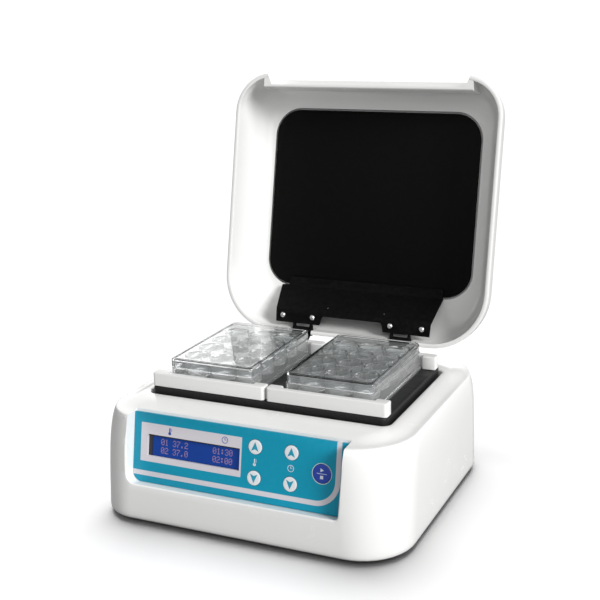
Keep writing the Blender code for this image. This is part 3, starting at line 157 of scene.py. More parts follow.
def place_loop(piece, ring):
    """Moves the selected loop to a ring's places, by the number that each point carries."""
    work = bmesh.from_edit_mesh(piece.data)
    number = work.verts.layers.int["number"]
    for vertex in work.verts:
        if vertex.select:
            vertex.co = ring[vertex[number]]
    bmesh.update_edit_mesh(piece.data)


def add_loft(piece, rings, closed=False):
    """In edit mode: a loop at the first ring, extruded from ring to ring. Open stacks get caps."""
    bpy.ops.mesh.select_all(action="DESELECT")
    bpy.ops.mesh.primitive_circle_add(vertices=len(rings[0]), radius=0.01)
    work = bmesh.from_edit_mesh(piece.data)
    number = work.verts.layers.int.get("number") or work.verts.layers.int.new("number")
    for index, vertex in enumerate([v for v in work.verts if v.select]):
        vertex[number] = index
    place_loop(piece, rings[0])
    if not closed:
        bpy.ops.mesh.edge_face_add()
    for ring in rings[1:]:
        bpy.ops.mesh.extrude_region_move()
        place_loop(piece, ring)
    if closed:
        bpy.ops.mesh.extrude_region_move()
        place_loop(piece, rings[0])
        bpy.ops.mesh.select_all(action="SELECT")
        bpy.ops.mesh.remove_doubles(threshold=1e-6)


def loft(name, rings, closed=False):
    """A piece lofted through rings that all have the same number of points."""
    piece = open_piece(name)
    add_loft(piece, rings, closed)
    return close_piece(piece)


def lofts(name, stacks):
    """One piece from several separate stacks of rings."""
    piece = open_piece(name)
    for rings in stacks:
        add_loft(piece, rings)
    return close_piece(piece)


def at_height(outline, z):
    return [Vector((x, y, z)) for x, y in outline]


def facing(outline, y):
    """An outline of (x, z) pairs, stood up at a depth y."""
    return [Vector((x, y, z)) for x, z in outline]


def rounded(half_x, half_y, corner, steps=8, centre=(0.0, 0.0), front_corner=None):
    """A rounded rectangle; the two corners at -Y may have a radius of their own."""
    points = []
    for index, (sign_x, sign_y) in enumerate(((1, 1), (-1, 1), (-1, -1), (1, -1))):
        bend = corner if sign_y > 0 or front_corner is None else front_corner
        for step in range(steps + 1):
            angle = (index + step / steps) * math.pi / 2
            x = sign_x * (half_x - bend) + bend * math.cos(angle)
            y = sign_y * (half_y - bend) + bend * math.sin(angle)
            points.append((centre[0] + x, centre[1] + y))
    return points


def circle(radius, count=32, centre=(0.0, 0.0)):
    return [(centre[0] + radius * math.cos(2 * math.pi * index / count),
             centre[1] + radius * math.sin(2 * math.pi * index / count)) for index in range(count)]


def smooth_track(points, steps):
    """A smooth run of values through a list of tuples."""
    track = []
    for index in range(len(points) - 1):
        before = points[max(index - 1, 0)]
        start, end = points[index], points[index + 1]
        after = points[min(index + 2, len(points) - 1)]
        for step in range(steps):
            t = step / steps
            track.append(tuple(
                0.5 * (2 * b + (c - a) * t + (2 * a - 5 * b + 4 * c - d) * t * t
                       + (3 * b - a - 3 * c + d) * t ** 3)
                for a, b, c, d in zip(before, start, end, after)))
    track.append(tuple(points[-1]))
    return track


def mix(start, end, share):
    return start + (end - start) * share


def apply_modifiers(piece):
    pick(piece)
    for modifier in list(piece.modifiers):
        bpy.ops.object.modifier_apply(modifier=modifier.name)
    return piece


def shape_with(piece, tool, operation):
    modifier = piece.modifiers.new("shape", "BOOLEAN")
    modifier.operation = operation
    modifier.object = tool
    modifier.solver = "EXACT"
    apply_modifiers(piece)
    bpy.data.objects.remove(tool)
    return piece


def cut(piece, tool):
    return shape_with(piece, tool, "DIFFERENCE")


def weld(piece, tool):
    return shape_with(piece, tool, "UNION")


def shade(piece, angle=35.0):
    pick(piece)
    bpy.ops.object.shade_smooth_by_angle(angle=math.radians(angle))
    return piece


def settle(piece, place, material, body, slot, *nodes):
    """Puts a finished piece in its place with its finish, on its body, for the nodes it stands for."""
    shade(piece)
    piece.data.transform(place)
    if place.determinant() < 0:
        piece.data.flip_normals()
    piece.data.materials.clear()
    piece.data.materials.append(material)
    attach(piece, body)
    if nodes:
        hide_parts(*nodes)
    return piece


def twin(piece, name):
    """A copy of a piece with its own mesh."""
    copy = piece.copy()
    copy.data = piece.data.copy()
    copy.name = name
    copy.data.name = name
    bpy.context.scene.collection.objects.link(copy)
    return copy


# ---------------------------------------------------------------- shader groups
def new_group(name, inputs, outputs):
    """An empty shader node group with named sockets, each given as (name, type, value)."""
    group = bpy.data.node_groups.new(name, "ShaderNodeTree")
    for label, kind, value in inputs:
        socket = group.interface.new_socket(label, in_out="INPUT", socket_type="NodeSocket" + kind)
        if value is not None:
            socket.default_value = value
    for label, kind in outputs:
        group.interface.new_socket(label, in_out="OUTPUT", socket_type="NodeSocket" + kind)
    start = group.nodes.new("NodeGroupInput")
    end = group.nodes.new("NodeGroupOutput")
    start.location, end.location = (-900, 0), (700, 0)
    return group, start, end


def add_node(tree, kind, links=None, values=None, **settings):
    """A node with settings, unlinked values and links from other sockets, by input name or number."""
    node = tree.nodes.new("ShaderNode" + kind)
    for key, value in settings.items():
        setattr(node, key, value)
    for key, value in (values or {}).items():
        node.inputs[key].default_value = value
    for key, socket in (links or {}).items():
        tree.links.new(socket, node.inputs[key])
    return node


def blend_colour(tree, share, under, over):
    """A colour mix. under and over are sockets or plain colours."""
    node = tree.nodes.new("ShaderNodeMix")
    node.data_type = "RGBA"
    tree.links.new(share, node.inputs["Factor"])
    for value, socket in ((under, node.inputs[6]), (over, node.inputs[7])):
        if isinstance(value, bpy.types.NodeSocket):
            tree.links.new(value, socket)
        else:
            socket.default_value = (*value, 1.0)
    return node.outputs[2]


def moulded_grain_group():
    """Fine spark-eroded grain with slow changes of gloss over the part, as moulded plastic has."""
    group, start, end = new_group(
        "moulded_grain",
        [("Point", "Vector", None), ("Grain Size", "Float", 0.0006), ("Gloss Low", "Float", 0.2),
         ("Gloss High", "Float", 0.35), ("Depth", "Float", 0.3)],
        [("Roughness", "Float"), ("Height", "Float")])
    rate = add_node(group, "Math", {1: start.outputs["Grain Size"]}, {0: 1.0}, operation="DIVIDE")
    fine = add_node(group, "TexNoise", {"Vector": start.outputs["Point"], "Scale": rate.outputs[0]},
                    {"Detail": 2.0, "Roughness": 0.6})
    slow = add_node(group, "TexNoise", {"Vector": start.outputs["Point"]}, {"Scale": 14.0, "Detail": 3.0})
    both = add_node(group, "Math", {0: fine.outputs["Fac"], 1: slow.outputs["Fac"]}, operation="ADD")
    gloss = add_node(group, "MapRange", {"Value": both.outputs[0], "To Min": start.outputs["Gloss Low"],
                                         "To Max": start.outputs["Gloss High"]},
                     {"From Min": 0.6, "From Max": 1.4})
    height = add_node(group, "Math", {0: fine.outputs["Fac"], 1: start.outputs["Depth"]},
                      operation="MULTIPLY")
    group.links.new(gloss.outputs["Result"], end.inputs["Roughness"])
    group.links.new(height.outputs[0], end.inputs["Height"])
    return group


def edge_wear_group():
    """Lighter, rubbed colour along convex edges, broken up by noise."""
    group, start, end = new_group(
        "edge_wear",
        [("Point", "Vector", None), ("Colour", "Color", None), ("Worn Colour", "Color", None),
         ("Amount", "Float", 0.5), ("Patch Size", "Float", 0.004)],
        [("Colour", "Color"), ("Mask", "Float")])
    geometry = add_node(group, "NewGeometry")
    edge = add_node(group, "MapRange", {"Value": geometry.outputs["Pointiness"]},
                    {"From Min": 0.52, "From Max": 0.62})
    rate = add_node(group, "Math", {1: start.outputs["Patch Size"]}, {0: 1.0}, operation="DIVIDE")
    noise = add_node(group, "TexNoise", {"Vector": start.outputs["Point"], "Scale": rate.outputs[0]},
                     {"Detail": 4.0})
    patch = add_node(group, "MapRange", {"Value": noise.outputs["Fac"]}, {"From Min": 0.42, "From Max": 0.62})
    mask = add_node(group, "Math", {0: edge.outputs["Result"], 1: patch.outputs["Result"]},
                    operation="MULTIPLY")
    amount = add_node(group, "Math", {0: mask.outputs[0], 1: start.outputs["Amount"]}, operation="MULTIPLY")
    colour = blend_colour(group, amount.outputs[0], start.outputs["Colour"], start.outputs["Worn Colour"])
    group.links.new(colour, end.inputs["Colour"])
    group.links.new(amount.outputs[0], end.inputs["Mask"])
    return group


def handling_group():
    """Faint finger smears: soft patches where the gloss is a little duller."""
    group, start, end = new_group(
        "handling_marks",
        [("Point", "Vector", None), ("Roughness", "Float", 0.3), ("Strength", "Float", 0.08),
         ("Patch Size", "Float", 0.03)],
        [("Roughness", "Float")])
    rate = add_node(group, "Math", {1: start.outputs["Patch Size"]}, {0: 1.0}, operation="DIVIDE")
    bent = add_node(group, "TexNoise", {"Vector": start.outputs["Point"], "Scale": rate.outputs[0]},
                    {"Detail": 5.0, "Roughness": 0.65, "Distortion": 1.2})
    smear = add_node(group, "MapRange", {"Value": bent.outputs["Fac"]}, {"From Min": 0.5, "From Max": 0.75})
    extra = add_node(group, "Math", {0: smear.outputs["Result"], 1: start.outputs["Strength"],
                                     2: start.outputs["Roughness"]}, operation="MULTIPLY_ADD")
    group.links.new(extra.outputs[0], end.inputs["Roughness"])
    return group


def brushed_group():
    """Fine parallel scratches along one axis, as brushed, rolled or turned metal has."""
    group, start, end = new_group(
        "brushed_lines",
        [("Point", "Vector", None), ("Stretch", "Vector", (1.0, 1.0, 1.0)), ("Gloss Low", "Float", 0.25),
         ("Gloss High", "Float", 0.45)],
        [("Roughness", "Float"), ("Height", "Float"), ("Shade", "Float")])
    stretched = add_node(group, "VectorMath", {0: start.outputs["Point"], 1: start.outputs["Stretch"]},
                         operation="MULTIPLY")
    lines = add_node(group, "TexNoise", {"Vector": stretched.outputs["Vector"]},
                     {"Scale": 900.0, "Detail": 3.0})
    cloudy = add_node(group, "TexNoise", {"Vector": start.outputs["Point"]}, {"Scale": 60.0, "Detail": 3.0})
    gloss = add_node(group, "MapRange", {"Value": lines.outputs["Fac"], "To Min": start.outputs["Gloss Low"],
                                         "To Max": start.outputs["Gloss High"]},
                     {"From Min": 0.3, "From Max": 0.7})
    group.links.new(gloss.outputs["Result"], end.inputs["Roughness"])
    group.links.new(lines.outputs["Fac"], end.inputs["Height"])
    group.links.new(cloudy.outputs["Fac"], end.inputs["Shade"])
    return group


def print_group():
    """Mask of a rounded rectangle printed on the panel. With a line width only its outline prints."""
    group, start, end = new_group(
        "printed_shape",
        [("Point", "Vector", None), ("Centre", "Vector", (0.0, 0.0, 0.0)),
         ("Half Size", "Vector", (0.01, 0.0, 0.01)), ("Corner", "Float", 0.001), ("Line", "Float", 0.0),
         ("Softness", "Float", 0.00006)],
        [("Mask", "Float")])
    away = add_node(group, "VectorMath", {0: start.outputs["Point"], 1: start.outputs["Centre"]},
                    operation="SUBTRACT")
    folded = add_node(group, "VectorMath", {0: away.outputs["Vector"]}, operation="ABSOLUTE")
    core = add_node(group, "VectorMath", {0: folded.outputs["Vector"], 1: start.outputs["Half Size"]},
                    operation="SUBTRACT")
    corner = add_node(group, "CombineXYZ", {"X": start.outputs["Corner"], "Z": start.outputs["Corner"]})
    grown = add_node(group, "VectorMath", {0: core.outputs["Vector"], 1: corner.outputs["Vector"]},
                     operation="ADD")
    flat = add_node(group, "VectorMath", {0: grown.outputs["Vector"]}, {1: (1.0, 0.0, 1.0)},
                    operation="MULTIPLY")
    outside = add_node(group, "VectorMath", {0: flat.outputs["Vector"]}, {1: (0.0, 0.0, 0.0)},
                       operation="MAXIMUM")
    far = add_node(group, "VectorMath", {0: outside.outputs["Vector"]}, operation="LENGTH")
    parts = add_node(group, "SeparateXYZ", {0: flat.outputs["Vector"]})
    larger = add_node(group, "Math", {0: parts.outputs["X"], 1: parts.outputs["Z"]}, operation="MAXIMUM")
    inside = add_node(group, "Math", {0: larger.outputs[0]}, {1: 0.0}, operation="MINIMUM")
    both = add_node(group, "Math", {0: far.outputs["Value"], 1: inside.outputs[0]}, operation="ADD")
    distance = add_node(group, "Math", {0: both.outputs[0], 1: start.outputs["Corner"]}, operation="SUBTRACT")
    size = add_node(group, "Math", {0: distance.outputs[0]}, operation="ABSOLUTE")
    half = add_node(group, "Math", {0: start.outputs["Line"]}, {1: 0.5}, operation="MULTIPLY")
    band = add_node(group, "Math", {0: size.outputs[0], 1: half.outputs[0]}, operation="SUBTRACT")
    lined = add_node(group, "Math", {0: start.outputs["Line"]}, {1: 0.000001}, operation="GREATER_THAN")
    chosen = add_node(group, "Mix", {0: lined.outputs[0], 2: distance.outputs[0], 3: band.outputs[0]})
    minus = add_node(group, "Math", {0: start.outputs["Softness"]}, {1: -1.0}, operation="MULTIPLY")
    mask = add_node(group, "MapRange", {"Value": chosen.outputs[0], "From Min": start.outputs["Softness"],
                                        "From Max": minus.outputs[0]}, {"To Min": 0.0, "To Max": 1.0})
    group.links.new(mask.outputs["Result"], end.inputs["Mask"])
    return group


def dust_group():
    """A thin, uneven film of dust on faces that look up."""
    group, start, end = new_group(
        "settled_dust",
        [("Point", "Vector", None), ("Colour", "Color", None), ("Dust Colour", "Color", None),
         ("Amount", "Float", 0.1)],
        [("Colour", "Color"), ("Mask", "Float")])
    geometry = add_node(group, "NewGeometry")
    parts = add_node(group, "SeparateXYZ", {0: geometry.outputs["Normal"]})
    upward = add_node(group, "MapRange", {"Value": parts.outputs["Z"]}, {"From Min": 0.5, "From Max": 1.0})
    noise = add_node(group, "TexNoise", {"Vector": start.outputs["Point"]}, {"Scale": 900.0, "Detail": 4.0})
    speck = add_node(group, "MapRange", {"Value": noise.outputs["Fac"]}, {"From Min": 0.45, "From Max": 0.7})
    mask = add_node(group, "Math", {0: upward.outputs["Result"], 1: speck.outputs["Result"]},
                    operation="MULTIPLY")
    amount = add_node(group, "Math", {0: mask.outputs[0], 1: start.outputs["Amount"]}, operation="MULTIPLY")
    colour = blend_colour(group, amount.outputs[0], start.outputs["Colour"], start.outputs["Dust Colour"])
    group.links.new(colour, end.inputs["Colour"])
    group.links.new(amount.outputs[0], end.inputs["Mask"])
    return group


GROUPS = {}
for make_group in (moulded_grain_group, edge_wear_group, handling_group, brushed_group, print_group,
                   dust_group):
    made = make_group()
    GROUPS[made.name] = made


# ---------------------------------------------------------------- finishes
def place_group(tree, name, links, values):
    """One of the shader groups in a material, with its own values."""
    node = tree.nodes.new("ShaderNodeGroup")
    node.node_tree = GROUPS[name]
    node.label = name
    for key, value in values.items():
        node.inputs[key].default_value = value
    for key, socket in links.items():
        tree.links.new(socket, node.inputs[key])
    return node


def start_finish(name, **values):
    """A material with its shader, and the object's own coordinates to draw on."""
    material = bpy.data.materials.new(name)
    material.use_nodes = True
    tree = material.node_tree
    shader = tree.nodes["Principled BSDF"]
    for key, value in values.items():
        shader.inputs[key.replace("_", " ")].default_value = value
    point = add_node(tree, "TexCoord").outputs["Object"]
    return material, tree, shader, point


def bump(tree, shader, height, distance, strength=1.0):
    node = add_node(tree, "Bump", {"Height": height}, {"Strength": strength, "Distance": distance})
    tree.links.new(node.outputs["Normal"], shader.inputs["Normal"])


def plastic(name, colour, worn, gloss, grain=0.0006, depth=0.00001, wear=0.25, dust=0.05, **values):
    """Moulded plastic: grain, rubbed edges, a little dust and finger marks."""
    material, tree, shader, point = start_finish(name, **values)
    grained = place_group(tree, "moulded_grain", {"Point": point},
                          {"Grain Size": grain, "Gloss Low": gloss[0], "Gloss High": gloss[1], "Depth": 1.0})
    marked = place_group(tree, "handling_marks", {"Point": point, "Roughness": grained.outputs["Roughness"]},
                         {"Strength": 0.08, "Patch Size": 0.05})
    worn_edge = place_group(tree, "edge_wear", {"Point": point},
                            {"Colour": (*colour, 1.0), "Worn Colour": (*worn, 1.0), "Amount": wear})
    dusty = place_group(tree, "settled_dust", {"Point": point, "Colour": worn_edge.outputs["Colour"]},
                        {"Dust Colour": (0.62, 0.60, 0.57, 1.0), "Amount": dust})
    tree.links.new(dusty.outputs["Colour"], shader.inputs["Base Color"])
    tree.links.new(marked.outputs["Roughness"], shader.inputs["Roughness"])
    bump(tree, shader, grained.outputs["Height"], depth)
    return material


def metal(name, colour, shadow, gloss, stretch, worn=None, wear=0.0, depth=0.000006, metallic=1.0, **values):
    """Metal with fine lines along one axis, cloudy shade and, where it is coated, rubbed edges."""
    material, tree, shader, point = start_finish(name, Metallic=metallic, **values)
    lines = place_group(tree, "brushed_lines", {"Point": point},
                        {"Stretch": stretch, "Gloss Low": gloss[0], "Gloss High": gloss[1]})
    shaded = blend_colour(tree, lines.outputs["Shade"], shadow, colour)
    worn_edge = place_group(tree, "edge_wear", {"Point": point, "Colour": shaded},
                            {"Worn Colour": (*(worn or colour), 1.0), "Amount": wear, "Patch Size": 0.002})
    marked = place_group(tree, "handling_marks", {"Point": point, "Roughness": lines.outputs["Roughness"]},
                         {"Strength": 0.10, "Patch Size": 0.02})
    tree.links.new(worn_edge.outputs["Colour"], shader.inputs["Base Color"])
    tree.links.new(marked.outputs["Roughness"], shader.inputs["Roughness"])
    bump(tree, shader, lines.outputs["Height"], depth)
    return material


def panel_point(tree, point):
    """The object's coordinates turned into the panel's own plane, with height along Z."""
    back = PANEL.inverted()
    node = add_node(tree, "Mapping", {"Vector": point}, vector_type="POINT")
    node.inputs["Location"].default_value = back.translation
    node.inputs["Rotation"].default_value = back.to_euler()
    return node.outputs["Vector"]


# Prints on the fascia, in the panel frame
BEZEL_CENTRE = (-0.0523, 0.0, 0.0368)
BEZEL_HALF = (0.0500, 0.0, 0.0174)
STRIPE_RIGHT = 0.0872
STRIPE_FOOT = 0.0085
STRIPE_REACH = 0.3000
STRIPE_LINE = 0.0044
STRIPE_BEND = 0.0200
SILVER = (0.62, 0.60, 0.64)
TEAL = (0.002, 0.275, 0.415)


def teal_fascia():
    """Screen-printed film: teal ground, silver bezel and silver stripe under a satin texture."""
    material, tree, shader, point = start_finish("printed_film", Specular_IOR_Level=0.25)
    flat = panel_point(tree, point)
    stripe = place_group(
        tree, "printed_shape", {"Point": flat},
        {"Centre": (STRIPE_RIGHT - STRIPE_REACH, 0.0, STRIPE_FOOT + STRIPE_REACH),
         "Half Size": (STRIPE_REACH, 0.0, STRIPE_REACH), "Corner": STRIPE_BEND, "Line": STRIPE_LINE})
    bezel = place_group(tree, "printed_shape", {"Point": flat},
                        {"Centre": BEZEL_CENTRE, "Half Size": BEZEL_HALF, "Corner": 0.0006})
    grained = place_group(tree, "moulded_grain", {"Point": point},
                          {"Grain Size": 0.0003, "Gloss Low": 0.30, "Gloss High": 0.42, "Depth": 1.0})
    ink = add_node(tree, "TexNoise", {"Vector": point}, {"Scale": 35.0, "Detail": 2.0})
    ground = blend_colour(tree, ink.outputs["Fac"], tuple(0.985 * part for part in TEAL), TEAL)
    silver = blend_colour(tree, ink.outputs["Fac"], tuple(0.985 * part for part in SILVER), SILVER)
    striped = blend_colour(tree, stripe.outputs["Mask"], ground, silver)
    printed = blend_colour(tree, bezel.outputs["Mask"], striped, silver)
    worn_edge = place_group(tree, "edge_wear", {"Point": point, "Colour": printed},
                            {"Worn Colour": (0.5, 0.6, 0.62, 1.0), "Amount": 0.02})
    marked = place_group(tree, "handling_marks", {"Point": point, "Roughness": grained.outputs["Roughness"]},
                         {"Strength": 0.03, "Patch Size": 0.02})
    tree.links.new(worn_edge.outputs["Colour"], shader.inputs["Base Color"])
    tree.links.new(marked.outputs["Roughness"], shader.inputs["Roughness"])
    bump(tree, shader, grained.outputs["Height"], 0.000008)
    return material


def lit_glass():
    """The display's blue backlit glass: faint pixel cells and an uneven glow."""
    material, tree, shader, point = start_finish("display_glass", Specular_IOR_Level=0.25)
    shader.inputs["Emission Strength"].default_value = 0.35
    flat = panel_point(tree, point)
    glow = add_node(tree, "TexNoise", {"Vector": flat}, {"Scale": 18.0, "Detail": 1.0})
    cells = add_node(tree, "TexChecker", {"Vector": flat},
                     {"Scale": 1250.0, "Color1": (0.92, 0.92, 0.92, 1.0), "Color2": (1.0, 1.0, 1.0, 1.0)})
    tint = blend_colour(tree, glow.outputs["Fac"], (0.003, 0.030, 0.190), (0.004, 0.040, 0.240))
    colour = add_node(tree, "Mix", data_type="RGBA", blend_type="MULTIPLY")
    colour.inputs["Factor"].default_value = 1.0
    tree.links.new(tint, colour.inputs[6])
    tree.links.new(cells.outputs["Color"], colour.inputs[7])
    grained = place_group(tree, "moulded_grain", {"Point": point},
                          {"Grain Size": 0.0004, "Gloss Low": 0.10, "Gloss High": 0.18, "Depth": 1.0})
    tree.links.new(colour.outputs[2], shader.inputs["Base Color"])
    tree.links.new(colour.outputs[2], shader.inputs["Emission Color"])
    tree.links.new(grained.outputs["Roughness"], shader.inputs["Roughness"])
    return material


def clear_plastic(name, ior, transmission):
    """Clear polystyrene, with faint flow lines. Light for shadows passes straight through."""
    material, tree, shader, point = start_finish(
        name, IOR=ior, Transmission_Weight=transmission, Base_Color=(0.985, 0.99, 0.99, 1.0))
    flow = place_group(tree, "brushed_lines", {"Point": point},
                       {"Stretch": (0.05, 0.05, 1.0), "Gloss Low": 0.0, "Gloss High": 0.006})
    tree.links.new(flow.outputs["Roughness"], shader.inputs["Roughness"])
    through = add_node(tree, "BsdfTransparent", values={"Color": (0.93, 0.94, 0.94, 1.0)})
    path = add_node(tree, "LightPath")
    either = add_node(tree, "Math", {0: path.outputs["Is Shadow Ray"], 1: path.outputs["Is Diffuse Ray"]},
                      operation="MAXIMUM")
    blend = add_node(tree, "MixShader", {0: either.outputs[0], 1: shader.outputs[0], 2: through.outputs[0]})
    tree.links.new(blend.outputs[0], tree.nodes["Material Output"].inputs["Surface"])
    return material


def felt():
    """Compressed grey insulation felt."""
    material, tree, shader, point = start_finish("insulation_felt")
    fibres = add_node(tree, "TexVoronoi", {"Vector": point}, {"Scale": 1200.0}, feature="F1")
    tufts = add_node(tree, "TexNoise", {"Vector": point}, {"Scale": 240.0, "Detail": 5.0})
    colour = blend_colour(tree, tufts.outputs["Fac"], (0.16, 0.16, 0.17), (0.34, 0.34, 0.35))
    rough = add_node(tree, "MapRange", {"Value": tufts.outputs["Fac"]}, {"To Min": 0.85, "To Max": 1.0})
    tree.links.new(colour, shader.inputs["Base Color"])
    tree.links.new(rough.outputs["Result"], shader.inputs["Roughness"])
    bump(tree, shader, fibres.outputs["Distance"], 0.0004)
    return material


def circuit_board():
    """Solder mask over copper tracks."""
    material, tree, shader, point = start_finish("circuit_board", Coat_Roughness=0.2)
    tracks = add_node(tree, "TexBrick", {"Vector": point},
                      {"Scale": 260.0, "Mortar Size": 0.03, "Color1": (0.010, 0.110, 0.045, 1.0),
                       "Color2": (0.014, 0.150, 0.060, 1.0), "Mortar": (0.20, 0.30, 0.08, 1.0)})
    grained = place_group(tree, "moulded_grain", {"Point": point},
                          {"Grain Size": 0.0005, "Gloss Low": 0.30, "Gloss High": 0.45, "Depth": 1.0})
    tree.links.new(tracks.outputs["Color"], shader.inputs["Base Color"])
    tree.links.new(grained.outputs["Roughness"], shader.inputs["Roughness"])
    bump(tree, shader, tracks.outputs["Fac"], 0.00003)
    return material


def rubber():
    material, tree, shader, point = start_finish("moulded_rubber", Specular_IOR_Level=0.3)
    grained = place_group(tree, "moulded_grain", {"Point": point},
                          {"Grain Size": 0.0004, "Gloss Low": 0.70, "Gloss High": 0.90, "Depth": 1.0})
    dusty = place_group(tree, "settled_dust", {"Point": point},
                        {"Colour": (0.018, 0.018, 0.019, 1.0), "Dust Colour": (0.25, 0.24, 0.23, 1.0),
                         "Amount": 0.3})
    tree.links.new(dusty.outputs["Colour"], shader.inputs["Base Color"])
    tree.links.new(grained.outputs["Roughness"], shader.inputs["Roughness"])
    bump(tree, shader, grained.outputs["Height"], 0.00006)
    return material


FINISHES = {
    "white_shell": plastic("gloss_white_shell", (0.80, 0.80, 0.79), (0.86, 0.86, 0.85), (0.16, 0.26),
                           grain=0.0009, depth=0.000003, wear=0.02, dust=0.01, Coat_Weight=0.25,
                           Coat_Roughness=0.08),
    "rail_white": plastic("satin_white_rail", (0.76, 0.76, 0.75), (0.84, 0.84, 0.83), (0.34, 0.46),
                          grain=0.0005, depth=0.00001, wear=0.3, dust=0.05),
    "key_white": plastic("pale_key_cap", (0.74, 0.76, 0.78), (0.82, 0.83, 0.84), (0.35, 0.45), grain=0.0003),
    "key_blue": plastic("blue_key_cap", (0.010, 0.045, 0.350), (0.10, 0.15, 0.45), (0.32, 0.42),
                        grain=0.0003),
    "print_teal": plastic("teal_print", TEAL, (0.05, 0.35, 0.45), (0.35, 0.45), grain=0.0003),
    "print_pale": plastic("pale_print", (0.60, 0.66, 0.72), (0.7, 0.74, 0.78), (0.35, 0.45), grain=0.0003),
    "print_blue": plastic("blue_print", (0.016, 0.050, 0.330), (0.08, 0.12, 0.40), (0.35, 0.45),
                          grain=0.0003),
    "pixel": plastic("display_pixel", (0.30, 0.19, 0.34), (0.36, 0.25, 0.38), (0.30, 0.40), grain=0.0003),
    "black_plastic": plastic("black_moulding", (0.018, 0.018, 0.020), (0.10, 0.10, 0.10), (0.38, 0.52),
                             grain=0.0005, depth=0.00002, wear=0.4, dust=0.10),
    "black_anodised": metal("black_anodised", (0.010, 0.010, 0.010), (0.008, 0.008, 0.008), (0.36, 0.50),
                            (0.04, 1.0, 1.0), worn=(0.07, 0.07, 0.07), wear=0.5, metallic=0.0,
                            Specular_IOR_Level=0.20),
    "black_enamel": plastic("black_enamel", (0.0016, 0.0013, 0.0013), (0.02, 0.02, 0.02), (0.50, 0.62),
                            grain=0.0007, depth=0.000010, wear=0.2, dust=0.002, Specular_IOR_Level=0.06),
    "steel": metal("turned_steel", (0.62, 0.62, 0.63), (0.50, 0.50, 0.51), (0.18, 0.32), (1.0, 1.0, 0.05),
                   worn=(0.75, 0.75, 0.75), wear=0.4),
    "aluminium": metal("machined_aluminium", (0.74, 0.75, 0.76), (0.64, 0.65, 0.66), (0.25, 0.42),
                       (1.0, 0.05, 1.0), worn=(0.85, 0.85, 0.86), wear=0.4),
    "zinc_plate": metal("zinc_plate", (0.58, 0.59, 0.62), (0.48, 0.49, 0.51), (0.30, 0.50), (0.3, 0.3, 1.0),
                        worn=(0.70, 0.70, 0.71), wear=0.4, depth=0.00002),
    "teal_film": teal_fascia(),
    "display_blue": lit_glass(),
    "clear_styrene": clear_plastic("clear_styrene", 1.45, 0.93),
    "clear_cover": clear_plastic("thin_clear_cover", 1.22, 1.0),
    "foam": felt(),
    "circuit_green": circuit_board(),
    "rubber": rubber(),
}


# ---------------------------------------------------------------- housing
FLARE = smooth_track([(0.0, 0.96), (0.04, 1.0), (0.40, 0.88), (0.72, 0.60), (0.94, 0.16), (1.0, 0.0)], 5)
SIDE_BOW = smooth_track([(0.0, 0.97), (0.06, 1.0), (0.40, 1.0), (0.72, 0.93), (0.90, 0.62), (1.0, 0.0)], 5)
WALL_LEVELS = (0.0085, 0.0130, 0.0220, 0.0315, 0.0405, 0.0480, 0.0560, 0.0640, 0.0720, 0.0800, 0.0870,
               0.0930, EDGE_Z - EDGE_ROUND)


def flare_at(share, track=FLARE):
    for (low, start), (high, end) in zip(track, track[1:]):
        if share <= high:
            return mix(start, end, (share - low) / (high - low))
    return track[-1][1]


def section(half_x, front, rear, corner, tighter, z, steps=10):
    """Section of the housing. front and rear are measured from its middle."""
    half_y = (front + rear) / 2
    centre = (0.0, CENTRE_Y + (rear - front) / 2)
    outline = rounded(half_x, half_y, corner, steps, centre)
    left_front = slice(2 * (steps + 1), 3 * (steps + 1))
    outline[left_front] = rounded(half_x, half_y, corner - tighter, steps, centre)[left_front]
    return at_height(outline, z)


def wall_ring(z, inset):
    """Section of the housing's outer wall at a height, moved inwards by a distance."""
    share = min((z - RIM_Z) / (EDGE_Z - RIM_Z), 1.0)
    flare = flare_at(share)
    half_x = EDGE_HALF_X + SIDE_FLARE * flare_at(share, SIDE_BOW) - inset
    front = EDGE_HALF_Y + FRONT_FLARE * flare - inset
    rear = FOOT_HALF_Y - REAR_FLARE * (1 - flare) - inset
    return section(half_x, front, rear, mix(FOOT_CORNER, EDGE_CORNER, share) - inset, LEFT_TIGHTER, z)


def ledge_ring(share, z):
    """Section between the upper edge, share 0, and the opening, share 1."""
    half_x = mix(EDGE_HALF_X - EDGE_ROUND, OPENING_HALF_X, share)
    front = mix(EDGE_HALF_Y - EDGE_ROUND, OPENING_HALF_Y, share)
    rear = mix(FOOT_HALF_Y - REAR_FLARE - EDGE_ROUND, OPENING_HALF_Y, share)
    corner = mix(EDGE_CORNER - EDGE_ROUND, OPENING_CORNER, share)
    return section(half_x, front, rear, corner, LEFT_TIGHTER * (1 - share), z)


def collar_ring(grow, z):
    outline = rounded(OPENING_HALF_X + grow, OPENING_HALF_Y + grow, OPENING_CORNER + grow, 10,
                      (0.0, CENTRE_Y))
    return at_height(outline, z)


